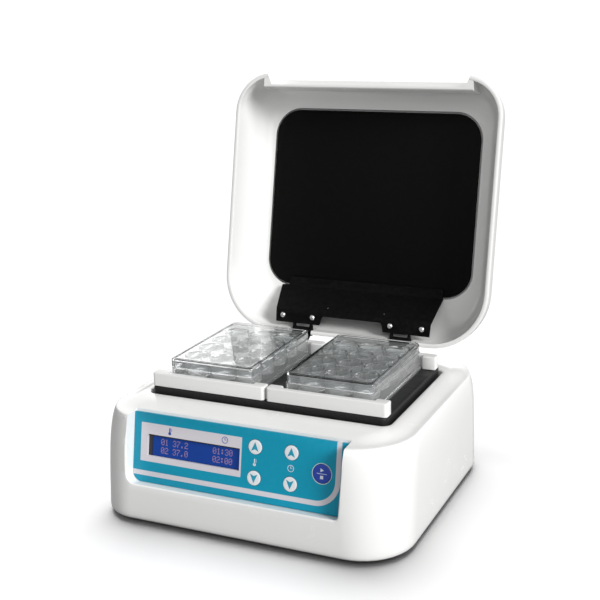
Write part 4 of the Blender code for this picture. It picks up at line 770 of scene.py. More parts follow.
def housing_rings():
    """Up the outside, over the top, down the collar round the opening and back inside."""
    under = ((0.0, 0.0040), (0.0006, 0.0024), (0.0016, 0.0011), (0.0030, 0.0003))
    rings = [wall_ring(RIM_Z + rise, inset) for rise, inset in under]
    rings += [wall_ring(z, 0.0) for z in WALL_LEVELS]
    for angle in (30, 60, 90):
        turn = math.radians(angle)
        rings.append(wall_ring(EDGE_Z - EDGE_ROUND * (1 - math.sin(turn)), EDGE_ROUND * (1 - math.cos(turn))))
    for index in range(1, 11):
        share = index / 10 * 0.96
        ease = share / 0.96
        rings.append(ledge_ring(share, EDGE_Z + TOP_RISE * ease * ease * (3 - 2 * ease)))
    for grow, drop in ((0.0007, 0.0001), (0.0002, 0.0005), (0.0, 0.0010), (0.0, COLLAR_DEPTH)):
        rings.append(collar_ring(grow, OPENING_Z - drop))
    collar = WALL * 0.9
    rings.append(collar_ring(collar, OPENING_Z - COLLAR_DEPTH))
    rings.append(collar_ring(collar, OPENING_Z - WALL))
    rings.append(wall_ring(EDGE_Z - WALL, 2 * WALL))
    rings += [wall_ring(z, WALL) for z in (0.0900, 0.0700, 0.0400, 0.0100, RIM_Z + 0.0028)]
    rings.append(wall_ring(RIM_Z, 0.0060))
    return rings


def panel_outline(inset, top, steps=8):
    """The panel's outline in its own plane, as (x, height), with two round lower corners."""
    left = PANEL_LEFT + inset
    right = PANEL_RIGHT - inset
    slant = PANEL_SLANT / PANEL_HEIGHT
    low_right = right - PANEL_SLANT
    points = [(right + slant * (top - PANEL_HEIGHT), top), (left, top)]
    corner = PANEL_CORNER - inset
    for step in range(steps + 1):
        angle = math.pi + step / steps * math.pi / 2
        points.append((left + corner + corner * math.cos(angle), inset + corner + corner * math.sin(angle)))
    tight = corner * 0.5
    for step in range(steps + 1):
        angle = -math.pi / 2 + step / steps * math.pi / 2
        points.append((low_right - tight + tight * math.cos(angle), inset + tight + tight * math.sin(angle)))
    return points


def prism(name, outline, front, back, place=None):
    """An outline of (x, z) pairs drawn out from one depth to another."""
    piece = loft(name, [facing(outline, back), facing(outline, front)])
    if place is not None:
        piece.data.transform(place)
    return piece


def across(name, outline, left, right):
    """An outline of (y, z) pairs drawn out from one x to another."""
    return loft(name, [[Vector((x, y, z)) for y, z in outline] for x in (left, right)])


def upright(name, outline, low, high):
    return loft(name, [at_height(outline, low), at_height(outline, high)])


def box_outline(x, z, half_x, half_z, corner=0.0006, steps=3):
    return rounded(half_x, half_z, corner, steps, (x, z))


def wall_depth(x, height):
    """Distance from the panel's face out to the housing's outer wall, at a place of the panel."""
    depth = 0.0
    for _ in range(6):
        spot = PANEL @ Vector((x, -depth, height))
        share = (min(spot.z, EDGE_Z - EDGE_ROUND) - RIM_Z) / (EDGE_Z - RIM_Z)
        flare = flare_at(share)
        corner = mix(FOOT_CORNER, EDGE_CORNER, share)
        corner -= LEFT_TIGHTER if x < 0.0 else 0.0
        half_x = EDGE_HALF_X + SIDE_FLARE * flare_at(share, SIDE_BOW)
        half_y = EDGE_HALF_Y + FRONT_FLARE * flare
        over = max(abs(spot.x) - (half_x - corner), 0.0)
        wall_y = CENTRE_Y - (half_y - corner) - math.sqrt(max(corner ** 2 - over ** 2, 0.0))
        depth += (spot.y - wall_y) * math.cos(LEAN)
    return depth


def recess_rings():
    """The recess from its floor outwards. Its mouth turns softly into the housing's wall."""
    top = PANEL_HEIGHT + 0.020
    rings = [facing(panel_outline(0.0, top), PANEL_THICKNESS + GAP)]
    for angle in (0, 15, 30, 45, 60, 75, 90):
        turn = math.radians(angle)
        grow = LIP_SOFTNESS * (1 - math.cos(turn))
        sink = LIP_SOFTNESS * (1 - math.sin(turn))
        ring = []
        for (x, z), (wide_x, wide_z) in zip(panel_outline(0.0, top), panel_outline(-grow, top)):
            softness = mix(1.0, 0.15, max(z, 0.0) / top)
            x, z = mix(x, wide_x, softness), mix(z, wide_z, softness)
            ring.append(Vector((x, min(sink * softness - wall_depth(x, z), PANEL_THICKNESS), z)))
        rings.append(ring)
    rings.append(facing(panel_outline(-LIP_SOFTNESS - 0.0001, top), -0.040))
    return rings


REAR_PAD_X = 0.060                               # flat pad at the rear for the inlet and the switch
REAR_PAD_HALF_X = 0.040
REAR_PAD_HALF_Z = 0.019
VENT_X = -0.050
VENT_PITCH = 0.0075
VENT_COUNT = 7


def add_panel_recess(shell):
    """A wall behind the panel, the recess that the panel lies in and the window behind its keys."""
    floor = PANEL_THICKNESS + 2 * GAP + WALL
    lean = math.tan(LEAN)
    foot_y = PANEL.translation.y
    low, high = PANEL_FOOT - 0.0030, EDGE_Z - 0.0012
    front = CENTRE_Y - FOOT_HALF_Y
    outline = ((front + FRONT_FLARE * 0.12 + WALL * 0.6, low),
               (foot_y + (low - PANEL_FOOT) * lean + floor, low),
               (foot_y + (high - PANEL_FOOT) * lean + floor, high),
               (front + FRONT_FLARE + WALL * 0.6, high))
    weld(shell, across("panel_backing", outline, PANEL_LEFT - WALL, PANEL_RIGHT + WALL))
    recess = loft("panel_recess", recess_rings())
    recess.data.transform(PANEL)
    cut(shell, recess)
    left = local_box("display", PANEL)[0].x - 0.001
    right = local_box("key_start_stop", PANEL)[1].x + 0.002
    low = local_box("key_temp_down", PANEL)[0].z - 0.002
    high = local_box("key_temp_up", PANEL)[1].z + 0.002
    window = box_outline((left + right) / 2, (low + high) / 2, (right - left) / 2, (high - low) / 2)
    cut(shell, prism("panel_window", window, 0.0, 0.020, PANEL))


def add_hinge_seats(shell):
    for side in ("left", "right"):
        block_low, block_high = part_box(f"hinge_block_{side}")
        half = (block_high.x - block_low.x) / 2
        spot = ((block_low.x + block_high.x) / 2, HINGE.y - 0.0145)
        weld(shell, upright("hinge_boss", rounded(half + 0.002, 0.0095, 0.001, 2, spot),
                            EDGE_Z - 0.0060, EDGE_Z - 0.0004))
        cut(shell, upright("hinge_seat", rounded(half + GAP, 0.0078, 0.0002, 1, spot),
                           EDGE_Z - 0.0010, EDGE_Z + 0.020))


def add_rear_openings(shell):
    """The pad and holes of the inlet and the switch, and slots for air beside them."""
    inlet, switch = middle("power_inlet"), middle("switch_bezel")
    pad_y, pad_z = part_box("power_inlet")[1].y - 0.0033, inlet.z
    backing = rounded(REAR_PAD_HALF_X + WALL, 0.005, 0.001, 1, (REAR_PAD_X, pad_y - 0.005 + WALL * 0.4))
    weld(shell, upright("rear_backing", backing, pad_z - REAR_PAD_HALF_Z - WALL,
                        pad_z + REAR_PAD_HALF_Z + WALL))
    recess = rounded(REAR_PAD_HALF_X, 0.010, 0.003, 4, (REAR_PAD_X, pad_y + 0.010))
    cut(shell, upright("rear_recess", recess, pad_z - REAR_PAD_HALF_Z, pad_z + REAR_PAD_HALF_Z))
    for x, half_x, half_z in ((inlet.x, 0.0140, 0.0102), (switch.x, 0.0100, 0.0066)):
        hole = rounded(half_x, 0.015, 0.001, 1, (x, pad_y))
        cut(shell, upright("rear_hole", hole, pad_z - half_z, pad_z + half_z))
    rear = CENTRE_Y + FOOT_HALF_Y
    slots = []
    for index in range(VENT_COUNT):
        x = VENT_X + (index - (VENT_COUNT - 1) / 2) * VENT_PITCH
        outline = box_outline(x, pad_z, 0.0015, 0.014, 0.0014, 4)
        slots.append([facing(outline, rear + 0.010), facing(outline, rear - 0.020)])
    cut(shell, lofts("vent_slots", slots))


def make_housing():
    shell = loft("housing_shell", housing_rings(), closed=True)
    add_panel_recess(shell)
    add_hinge_seats(shell)
    add_rear_openings(shell)
    return settle(shell, Matrix.Identity(4), FINISHES["white_shell"], "base", "white_shell",
                  "upper_housing")


# ---------------------------------------------------------------- platform
def make_slab():
    centre = ((SLAB_LOW.x + SLAB_HIGH.x) / 2, (SLAB_LOW.y + SLAB_HIGH.y) / 2)
    edge = 0.0012
    rings = []
    for angle in (90, 60, 30, 0):
        inset = edge * (1 - math.cos(math.radians(angle)))
        rise = edge * (1 - math.sin(math.radians(angle)))
        rings.append((inset, SLAB_LOW.z + rise))
    rings += [(inset, SLAB_HIGH.z - (z - SLAB_LOW.z)) for inset, z in reversed(rings)]
    sections = [at_height(rounded(SLAB_HALF_X - inset, SLAB_HALF_Y - inset, SLAB_CORNER - inset, 8,
                                  centre), z)
                for inset, z in rings]
    slab = loft("platform_slab", sections)
    return settle(slab, Matrix.Identity(4), FINISHES["black_anodised"], "platform", "black_anodised",
                  "heater_slab")


RAIL_CORNER = 0.0030
RAIL_RETURN = 0.0050


def make_rails():
    """One rail, drawn about the middle of a plate's end, and copied to the four ends."""
    low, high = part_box("rail_front_left")
    half = (high.x - low.x) / 2
    height = high.z - low.z
    plate_low, plate_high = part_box("microplate_left")
    inner = (plate_high.x - plate_low.x) / 2 + 0.0008
    thickness = 0.0060
    edge = 0.0011
    levels = [(edge * 0.3, 0.0), (0.0, edge * 0.3), (0.0, height - edge)]
    levels += [(edge * (1 - math.cos(math.radians(a))), height - edge * (1 - math.sin(math.radians(a))))
               for a in (22, 45, 67, 90)]
    rings = []
    for inset, z in levels:
        back = thickness - inset
        arm = thickness + RAIL_RETURN - inset
        bend = RAIL_CORNER - inset
        tip = 0.0010
        points = []
        for x, y, start in ((-half + RAIL_CORNER, RAIL_CORNER, 180), (half - RAIL_CORNER, RAIL_CORNER, 270)):
            for step in range(7):
                turn = math.radians(start + 15 * step)
                points.append((x + bend * math.cos(turn), y + bend * math.sin(turn)))
        for side in (1, -1):
            outer_x, inner_x = half - inset, inner + inset
            run = [(outer_x, arm - tip), (outer_x - tip * 0.3, arm - tip * 0.3), (outer_x - tip, arm),
                   (inner_x + tip, arm), (inner_x + tip * 0.3, arm - tip * 0.3), (inner_x, arm - tip),
                   (inner_x, back + tip), (inner_x - tip * 0.3, back + tip * 0.3), (inner_x - tip, back)]
            points += run if side > 0 else [(-x, y) for x, y in reversed(run)]
        rings.append(at_height(points, z))
    master = loft("plate_rail", rings)
    for end, end_name in ((1, "front"), (-1, "rear")):
        for side_name in ("left", "right"):
            node = f"rail_{end_name}_{side_name}"
            low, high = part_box(node)
            face_y = low.y if end > 0 else high.y
            place = Matrix.Translation(((low.x + high.x) / 2, face_y, low.z))
            place = place @ Matrix.Diagonal((1.0, end, 1.0, 1.0))
            settle(twin(master, f"plate_rail_{end_name}_{side_name}"), place, FINISHES["rail_white"],
                   "platform", "rail_white", node)
    bpy.data.objects.remove(master)


# ---------------------------------------------------------------- microplates
WELL_PITCH = 0.026
WELL_RADIUS = 0.011
WELL_DEPTH = 0.0185
PLATE_SKIN = 0.0011
DECK_DROP = 0.0010
PLATE_STEP = 0.0014                              # from the plate's foot in to its wall
COVER_SLACK = 0.0005
COVER_WALL = 0.0013
COVER_TOP = 0.0014
COVER_HEIGHT = 0.0080


def well_places():
    return [((column - 1) * WELL_PITCH, (row - 1.5) * WELL_PITCH)
            for column in range(3) for row in range(4)]


def make_plate_master(half_x, half_y, height):
    """Thin-walled plate: stepped skirt, deck and twelve round wells."""
    shoulder = height + GAP + COVER_TOP - COVER_HEIGHT - GAP
    neck = PLATE_STEP + COVER_SLACK + COVER_WALL - 0.0004
    deck = height - DECK_DROP
    outside = [(neck + 0.0004, deck), (neck, deck - 0.0004), (neck, shoulder),
               (PLATE_STEP + 0.0003, shoulder), (PLATE_STEP, shoulder - 0.0003), (PLATE_STEP, 0.0030),
               (0.0012, 0.0027), (0.0003, 0.0026), (0.0, 0.0023), (0.0, 0.0)]
    inside = [(PLATE_SKIN, 0.0), (PLATE_SKIN + 0.0012, 0.0034), (PLATE_STEP + PLATE_SKIN, 0.0060),
              (PLATE_STEP + PLATE_SKIN, shoulder - PLATE_SKIN), (neck + PLATE_SKIN, shoulder - PLATE_SKIN),
              (neck + PLATE_SKIN, deck - 0.0013)]
    rings = [at_height(rounded(half_x - inset, half_y - inset, 0.0040 - inset * 0.4, 5), z)
             for inset, z in outside + inside]
    plate = loft("plate_master", rings)
    cups, hollows = [], []
    floor = height - WELL_DEPTH
    for x, y in well_places():
        cup = ((0.0002, floor - 0.0011), (0.0009, floor - 0.0004), (0.0010, height - 0.0002),
               (0.0007, height))
        hollow = ((-0.0016, floor), (-0.0006, floor + 0.0005), (-0.0002, floor + 0.0016),
                  (0.0, height + 0.010))
        cups.append([at_height(circle(WELL_RADIUS + extra, 40, (x, y)), z) for extra, z in cup])
        hollows.append([at_height(circle(WELL_RADIUS + extra, 40, (x, y)), z) for extra, z in hollow])
    weld(plate, lofts("cups", cups))
    cut(plate, lofts("hollows", hollows))
    return plate


def make_cover_master(half_x, half_y, low, high, corner):
    """Loose cover: rounded shoulder, thin wall, and a low stacking rib round its top."""
    height = high - low
    outside = [(0.0110, height - 0.0002), (0.0070, height), (0.0038, height), (0.0034, height + 0.0004),
               (0.0026, height + 0.0004), (0.0022, height), (0.0011, height), (0.0004, height - 0.0004),
               (0.0, height - 0.0012), (0.0, 0.0003), (0.0003, 0.0)]
    inside = [(0.0010, 0.0), (0.0013, 0.0003), (0.0013, height - 0.0022), (0.0021, height - 0.0014)]
    rings = [at_height(rounded(half_x - inset, half_y - inset, max(corner - inset, 0.0008), 6), z)
             for inset, z in outside + inside]
    return loft("cover_master", rings)


def make_plates():
    """A plate and its loose cover on each side. The covers' corners differ a little."""
    for side, corner in (("left", 0.0045), ("right", 0.0075)):
        low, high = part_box(f"microplate_{side}")
        centre = Vector(((low.x + high.x) / 2, (low.y + high.y) / 2, low.z))
        plate = make_plate_master((high.x - low.x) / 2, (high.y - low.y) / 2, high.z - low.z)
        plate.name = plate.data.name = f"clear_plate_{side}"
        settle(plate, Matrix.Translation(centre), FINISHES["clear_styrene"], f"plate_{side}",
               "clear_styrene", f"microplate_{side}")
        low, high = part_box(f"plate_cover_{side}")
        centre = Vector(((low.x + high.x) / 2, (low.y + high.y) / 2, low.z))
        cover = make_cover_master((high.x - low.x) / 2, (high.y - low.y) / 2, low.z, high.z, corner)
        cover.name = cover.data.name = f"clear_cover_{side}"
        settle(cover, Matrix.Translation(centre), FINISHES["clear_cover"], f"cover_{side}",
               "clear_styrene", f"plate_cover_{side}")


# ---------------------------------------------------------------- lid, drawn shut on its hinge axis
SHELL_LOW, SHELL_HIGH = local_box("lid_shell", LID)
HEATER_LOW, HEATER_HIGH = local_box("lid_heater_plate", LID)
LID_HALF_X = (SHELL_HIGH.x - SHELL_LOW.x) / 2
LID_HALF_Y = (SHELL_HIGH.y - SHELL_LOW.y) / 2
LID_MID_Y = (SHELL_HIGH.y + SHELL_LOW.y) / 2
LID_FOOT = SHELL_LOW.z
LID_DEPTH = SHELL_HIGH.z - SHELL_LOW.z
LID_RIM = 0.0042
LID_CORNER_REAR = 0.0570
LID_CORNER_FRONT = 0.0400
HEATER_HALF_X = (HEATER_HIGH.x - HEATER_LOW.x) / 2
HEATER_HALF_Y = (HEATER_HIGH.y - HEATER_LOW.y) / 2
HEATER_Y = (HEATER_HIGH.y + HEATER_LOW.y) / 2
HEATER_DEPTH = HEATER_LOW.z - LID_FOOT
HEATER_CORNER = 0.0270
HEATER_FIT = 0.0020
COVE_STEP = 0.0013
POCKET_DEPTH = LID_DEPTH - 0.0035
GRIP_HALF = 0.1040
GRIP_SLOPE = 0.0055
GRIP_STEP = 0.0116
GRIP_HEIGHT = 0.0270
GRIP_WALL = 0.0030
CROWN = smooth_track([(0.045, 1.0), (0.030, 0.965), (0.019, 0.88), (0.011, 0.75), (0.0055, 0.58),
                      (0.0022, 0.39), (0.0006, 0.19), (0.0, 0.02)], 3)


def lid_section(inset, depth):
    outline = rounded(LID_HALF_X - inset, LID_HALF_Y - inset, LID_CORNER_REAR - inset * 0.8, 12,
                      (0.0, LID_MID_Y), LID_CORNER_FRONT - inset * 0.8)
    return at_height(outline, LID_FOOT + depth)


def lid_cove(share):
    """Section of the inner cove. share runs from 0 at the rim to 1 at the heater's pocket."""
    angle = share * math.pi / 2
    reach = 1 - math.cos(angle)
    pocket = HEATER_CORNER + HEATER_FIT
    outline = rounded(mix(LID_HALF_X - LID_RIM, HEATER_HALF_X + HEATER_FIT, reach),
                      mix(LID_HALF_Y - LID_RIM, HEATER_HALF_Y + HEATER_FIT, reach),
                      mix(LID_CORNER_REAR - LID_RIM, pocket, reach), 12,
                      (0.0, mix(LID_MID_Y, HEATER_Y, reach)),
                      mix(LID_CORNER_FRONT - LID_RIM, pocket, reach))
    return at_height(outline, LID_FOOT + mix(0.0010, HEATER_DEPTH + COVE_STEP, math.sin(angle)))


def lid_rings():
    """From the crown down the outside, round the rim, up the cove and into the heater's pocket."""
    rings = [lid_section(inset, share * LID_DEPTH) for inset, share in CROWN]
    rings += [lid_section(0.0003, 0.0004), lid_section(0.0010, 0.0)]
    rings += [lid_section(LID_RIM - 0.0010, 0.0), lid_section(LID_RIM - 0.0003, 0.0003)]
    rings += [lid_cove(index / 16) for index in range(17)]
    outline = rounded(HEATER_HALF_X + HEATER_FIT * 0.9, HEATER_HALF_Y + HEATER_FIT * 0.9,
                      HEATER_CORNER + HEATER_FIT, 12, (0.0, HEATER_Y))
    rings.append(at_height(outline, LID_FOOT + POCKET_DEPTH))
    return rings


def make_lid():
    shell = loft("lid_hood", lid_rings())
    front = SHELL_LOW.y
    back = front + GRIP_STEP + GRIP_WALL
    outline = ((front + LID_RIM * 0.6, 0.0004), (back - 0.0010, 0.0004), (back, 0.0014), (back, 0.0310),
               (back - 0.0020, 0.0330), (front + 0.0090, 0.0330))
    outline = [(y, z + LID_FOOT) for y, z in outline]
    reach = GRIP_HALF + GRIP_SLOPE + GRIP_WALL
    weld(shell, across("grip_backing", outline, -reach, reach))
    rings = []
    for half, y in ((GRIP_HALF, front + GRIP_STEP), (GRIP_HALF + GRIP_SLOPE, front),
                    (GRIP_HALF + 0.020, front - 0.020)):
        corners = ((-half, -0.010), (half, -0.010), (half, GRIP_HEIGHT - 0.002), (half - 0.002, GRIP_HEIGHT),
                   (-half + 0.002, GRIP_HEIGHT), (-half, GRIP_HEIGHT - 0.002))
        rings.append([Vector((x, y, z + LID_FOOT)) for x, z in corners])
    cut(shell, loft("grip_cut", rings))
    slots = []
    for side in ("left", "right"):
        block_low, block_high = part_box(f"hinge_block_{side}")
        x = (block_low.x + block_high.x) / 2
        outline = rounded((block_high.x - block_low.x) / 2 + 0.0052, 0.0120, 0.001, 3, (x, SHELL_HIGH.y))
        slots.append([at_height(outline, LID_FOOT - 0.010), at_height(outline, 0.0075)])
    cut(shell, lofts("hinge_slots", slots))
    return settle(shell, LID, FINISHES["white_shell"], "lid", "white_shell", "lid_shell")


def make_lid_plate():
    """Enamelled heater plate with rounded edges."""
    edge = 0.0007
    rings = []
    for inset, z in ((edge, 0.0), (edge * 0.3, edge * 0.3), (0.0, edge), (0.0, HEATER_HIGH.z - HEATER_LOW.z)):
        outline = rounded(HEATER_HALF_X - inset, HEATER_HALF_Y - inset, HEATER_CORNER - inset, 14,
                          (0.0, HEATER_Y))
        rings.append(at_height(outline, HEATER_LOW.z + z))
    return settle(loft("lid_hot_plate", rings), LID, FINISHES["black_enamel"], "lid", "black_enamel",
                  "lid_heater_plate")


# ---------------------------------------------------------------- bracket and its screws, in the lid frame
SHEET = 0.0020
BRACKET_HALF = 0.0950
LEG_INNER = 0.0330
LEG_Z = -0.0012
LEG_FOOT = -0.0080
LEG_KNEE = -0.0205


def bent_path(points, bend, steps=6):
    """A path whose corners are turned into short arcs."""
    path = [points[0]]
    for before, corner, after in zip(points, points[1:], points[2:]):
        before, corner, after = Vector(before), Vector(corner), Vector(after)
        into, out = (before - corner).normalized(), (after - corner).normalized()
        start, end = corner + into * bend, corner + out * bend
        for step in range(steps + 1):
            t = step / steps
            path.append(tuple(start * (1 - t) ** 2 + corner * 2 * t * (1 - t) + end * t * t))
    path.append(points[-1])
    return path


def strip_outline(path, thickness):
    """Outline of a strip of even thickness about an open path."""
    points = [Vector(point) for point in path]
    one, other = [], []
    for index, point in enumerate(points):
        before = points[max(index - 1, 0)]
        after = points[min(index + 1, len(points) - 1)]
        along = (after - before).normalized()
        normal = Vector((-along.y, along.x)) * thickness / 2
        one.append(tuple(point + normal))
        other.append(tuple(point - normal))
    return one + list(reversed(other))


def make_bracket():
    """Folded sheet from the heater plate's rear edge to the hinges, with ears round the pins."""
    heater_edge = HEATER_Y + HEATER_HALF_Y
    top = HEATER_LOW.z - GAP - SHEET / 2
    corners = [(LEG_FOOT, LEG_Z), (LEG_KNEE, LEG_Z), (heater_edge + 0.001, top), (heater_edge - 0.008, top)]
    bracket = across("folded_bracket", strip_outline(bent_path(corners, 0.0030), SHEET), -BRACKET_HALF,
                     BRACKET_HALF)
    gap_top = LEG_KNEE + 0.0030
    gap_outline = ((-LEG_INNER - 0.004, 0.002), (-LEG_INNER - 0.001, gap_top + 0.004),
                   (-LEG_INNER, gap_top + 0.0012), (-LEG_INNER + 0.0015, gap_top),
                   (LEG_INNER - 0.0015, gap_top), (LEG_INNER, gap_top + 0.0012),
                   (LEG_INNER + 0.001, gap_top + 0.004), (LEG_INNER + 0.004, 0.002))
    cut(bracket, upright("leg_gap", gap_outline, LEG_Z - 0.010, LEG_Z + 0.0090))
    for side, shoulder in ((-1, 0.0940), (1, 0.0866)):
        trim = ((0.12, 0.01), (0.0840, 0.01), (0.0852, LEG_KNEE), (shoulder, heater_edge + 0.0024),
                (shoulder, heater_edge + 0.0012), (0.0862, heater_edge + 0.0010),
                (0.0862, heater_edge - 0.02), (0.12, heater_edge - 0.02))
        cut(bracket, upright("bracket_trim", [(side * x, y) for x, y in trim], LEG_Z - 0.020,
                             HEATER_HIGH.z + 0.010))
    ears, bores = [], []
    for side in ("left", "right"):
        block_low, block_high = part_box(f"hinge_block_{side}")
        for sign, face in ((-1, block_low.x), (1, block_high.x)):
            near = face + sign * GAP
            profile = [(LEG_FOOT - 0.003, LEG_Z + 0.0004), (LEG_FOOT - 0.003, LEG_Z - SHEET * 0.4)]
            for step in range(9):
                turn = math.radians(-90 + 22.5 * step)
                profile.append((0.0042 * math.cos(turn), 0.0042 * math.sin(turn)))
            ears.append([[Vector((x, y, z)) for y, z in profile]
                         for x in sorted((near, near + sign * 0.0022))])
        bores.append([[Vector((x, y, z)) for y, z in circle(0.0025, 20)]
                      for x in (block_low.x - 0.01, block_high.x + 0.01)])
    weld(bracket, lofts("hinge_ears", ears))
    cut(bracket, lofts("ear_bores", bores))
    return settle(bracket, LID, FINISHES["black_enamel"], "lid", "black_enamel", "hinge_bracket")


def make_screws():
    """A pan-head screw with a cross recess, made once and copied to its four places."""
    profile = ((0.00290, 0.0), (0.00290, -0.0005), (0.00278, -0.0010), (0.00245, -0.0015), (0.00190, -0.0020),
               (0.00110, -0.0023))
    head = loft("screw_master", [at_height(circle(radius, 36), z) for radius, z in profile])
    cross = []
    for turn in (0.0, math.pi / 2):
        rings = []
        for length, breadth, z in ((0.00185, 0.00042, -0.0030), (0.00150, 0.00030, -0.0012)):
            outline = [(x * math.cos(turn) - y * math.sin(turn), x * math.sin(turn) + y * math.cos(turn))
                       for x, y in ((-length, -breadth), (length, -breadth), (length, breadth),
                                    (-length, breadth))]
            rings.append(at_height(outline, z))
        cross.append(loft("cross_arm", rings))
    for arm in cross:
        cut(head, arm)
    for index in range(4):
        spot = middle(f"bracket_screw_{index + 1}", LID)
        face = local_box(f"bracket_screw_{index + 1}", LID)[1].z
        place = LID @ Matrix.Translation((spot.x, spot.y, face)) @ Matrix.Rotation(0.4 + index * 1.1, 4, "Z")
        settle(twin(head, f"pan_screw_{index + 1}"), place, FINISHES["steel"], "lid", "steel",
               f"bracket_screw_{index + 1}")
    bpy.data.objects.remove(head)
    studs = []
    heater_edge = HEATER_Y + HEATER_HALF_Y
    slope = Vector((LEG_KNEE - heater_edge - 0.001, LEG_Z - HEATER_LOW.z + GAP + SHEET / 2))
    for x in (-0.0290, 0.0335):
        y, z = LEG_KNEE - 0.22 * slope.x, LEG_Z - 0.22 * slope.y - SHEET / 2
        studs.append([at_height(circle(radius, 16, (x, y)), z + rise)
                      for radius, rise in ((0.0005, 0.0002), (0.0005, -0.0006), (0.0003, -0.0009))])
    settle(lofts("bracket_studs", studs), LID, FINISHES["steel"], "lid", "steel")


# ---------------------------------------------------------------- control panel, in the panel frame
KEYS = ("key_temp_up", "key_temp_down", "key_time_up", "key_time_down")
DISPLAY_LOW, DISPLAY_HIGH = local_box("display", PANEL)
WINDOW = (-0.04975, 0.0345, 0.04575, 0.00975)       # middle x and z, half width and half height


def key_spot(node):
    low, high = local_box(node, PANEL)
    return (low.x + high.x) / 2, (low.z + high.z) / 2, (high.x - low.x) / 2 - 0.0011


def make_fascia():
    back, face, edge = PANEL_THICKNESS, 0.0, 0.0004
    rings = [facing(panel_outline(GAP, PANEL_HEIGHT), back), facing(panel_outline(GAP, PANEL_HEIGHT), edge),
             facing(panel_outline(GAP + edge * 0.3, PANEL_HEIGHT), edge * 0.3),
             facing(panel_outline(GAP + edge, PANEL_HEIGHT), face)]
    fascia = loft("fascia_film", rings)
    holes = []
    for node in KEYS + ("key_start_stop",):
        x, z, reach = key_spot(node)
        hole = reach + GAP
        holes.append([facing(circle(radius, 48, (x, z)), y)
                      for radius, y in ((hole, 0.005), (hole, 0.0004), (hole + 0.0003, -0.0001),
                                        (hole + 0.0003, -0.005))])
    cut(fascia, lofts("key_holes", holes))
    x, z, half_x, half_z = WINDOW
    opening = box_outline(x, z, half_x, half_z, 0.0004)
    cut(fascia, loft("display_window", [facing(opening, 0.005), facing(opening, -0.005)]))
    return settle(fascia, PANEL, FINISHES["teal_film"], "base", "teal_film", "control_panel")


def make_key(node, kind):
    """A domed key cap with a wide flange behind the fascia."""
    x, z, reach = key_spot(node)
    low, high = local_box(node, PANEL)
    levels = [(0.0011, high.y), (0.0011, PANEL_THICKNESS + GAP), (0.0, PANEL_THICKNESS + GAP),
              (0.0, low.y * 0.35), (-0.0002, low.y * 0.65), (-0.0006, low.y * 0.85),
              (-0.0016, low.y * 0.97), (-0.0034, low.y)]
    rings = [facing(circle(reach + extra, 48, (x, z)), y) for extra, y in levels]
    return settle(loft(f"{node}_cap", rings), PANEL, FINISHES[kind], node, kind, node)


def inlay(name, outline, centre, face, finish, body, depth=0.00012):
    """A thin raised print of an outline, its middle at centre."""
    points = [(centre[0] + x, centre[1] + z) for x, z in outline]
    piece = loft(name, [facing(points, face + depth), facing(points, face)])
    return settle(piece, PANEL, FINISHES[finish], body, "teal_film" if body == "base" else "key_white")


ARROW = ((0.0, 0.0036), (-0.0029, -0.0030), (0.0, -0.0016), (0.0029, -0.0030))
ARROW_SIZE = 1.2


def make_keys():
    for node in KEYS:
        make_key(node, "key_white")
        x, z, _ = key_spot(node)
        sign = 1 if node.endswith("up") else -1
        arrow = [(px * ARROW_SIZE, pz * sign * ARROW_SIZE) for px, pz in ARROW]
        inlay(f"{node}_arrow", arrow, (x, z), local_box(node, PANEL)[0].y - 0.00006, "print_teal", node)
    make_key("key_start_stop", "key_blue")
    x, z, reach = key_spot("key_start_stop")
    front = local_box("key_start_stop", PANEL)[0].y
    ring = [facing(circle(radius, 48, (x, z)), y)
            for radius, y in ((reach + 0.0010, 0.0001), (reach + 0.0010, -0.0002),
                              (reach + 0.0005, -0.0002), (reach + 0.0005, 0.0001))]
    settle(loft("start_key_ring", ring, closed=True), PANEL, FINISHES["print_pale"], "base", "teal_film")
    bar = [(-0.0046, -0.00022), (0.0046, -0.00022), (0.0046, 0.00022), (-0.0046, 0.00022)]
    inlay("start_key_line", bar, (x, z), front - 0.00006, "print_pale", "key_start_stop")
    triangle = [(-0.0014, -0.0016), (0.0018, 0.0), (-0.0014, 0.0016)]
    inlay("start_key_go", triangle, (x, z + 0.0030), front - 0.00006, "print_pale", "key_start_stop")
    square = [(-0.0014, -0.0014), (0.0014, -0.0014), (0.0014, 0.0014), (-0.0014, 0.0014)]
    inlay("start_key_halt", square, (x, z - 0.0030), front - 0.00006, "print_pale", "key_start_stop")


def ring_outline(radius, line, count=28):
    """A circle's line as one outline, out round and back inside."""
    outer = [(radius * math.cos(math.pi / 2 + 2 * math.pi * k / count),
              radius * math.sin(math.pi / 2 + 2 * math.pi * k / count)) for k in range(count)]
    inner = [(px * (1 - line / radius), pz * (1 - line / radius)) for px, pz in outer]
    return outer, inner


def add_symbol_part(stacks, outline, centre, scale=1.0, turn=0.0):
    points = []
    for px, pz in outline:
        points.append((centre[0] + scale * (px * math.cos(turn) - pz * math.sin(turn)),
                       centre[1] + scale * (px * math.sin(turn) + pz * math.cos(turn))))
    stacks.append([facing(points, 0.00004), facing(points, -0.00012)])


def symbol_rings(stacks, centre, radius, line, count=28):
    """A circle's line, built from short quads so that its middle stays open."""
    outer, inner = ring_outline(radius, line, count)
    for k in range(count):
        n = (k + 1) % count
        add_symbol_part(stacks, (outer[k], inner[k], inner[n], outer[n]), centre)


SYMBOLS = (
    ("display_symbols", "print_blue", ((-0.0733, 0.0491, "heat"), (-0.0187, 0.0495, "clock"))),
    ("key_symbols", "print_pale", ((0.0104, 0.0343, "heat"), (0.0443, 0.0343, "clock"))),
)


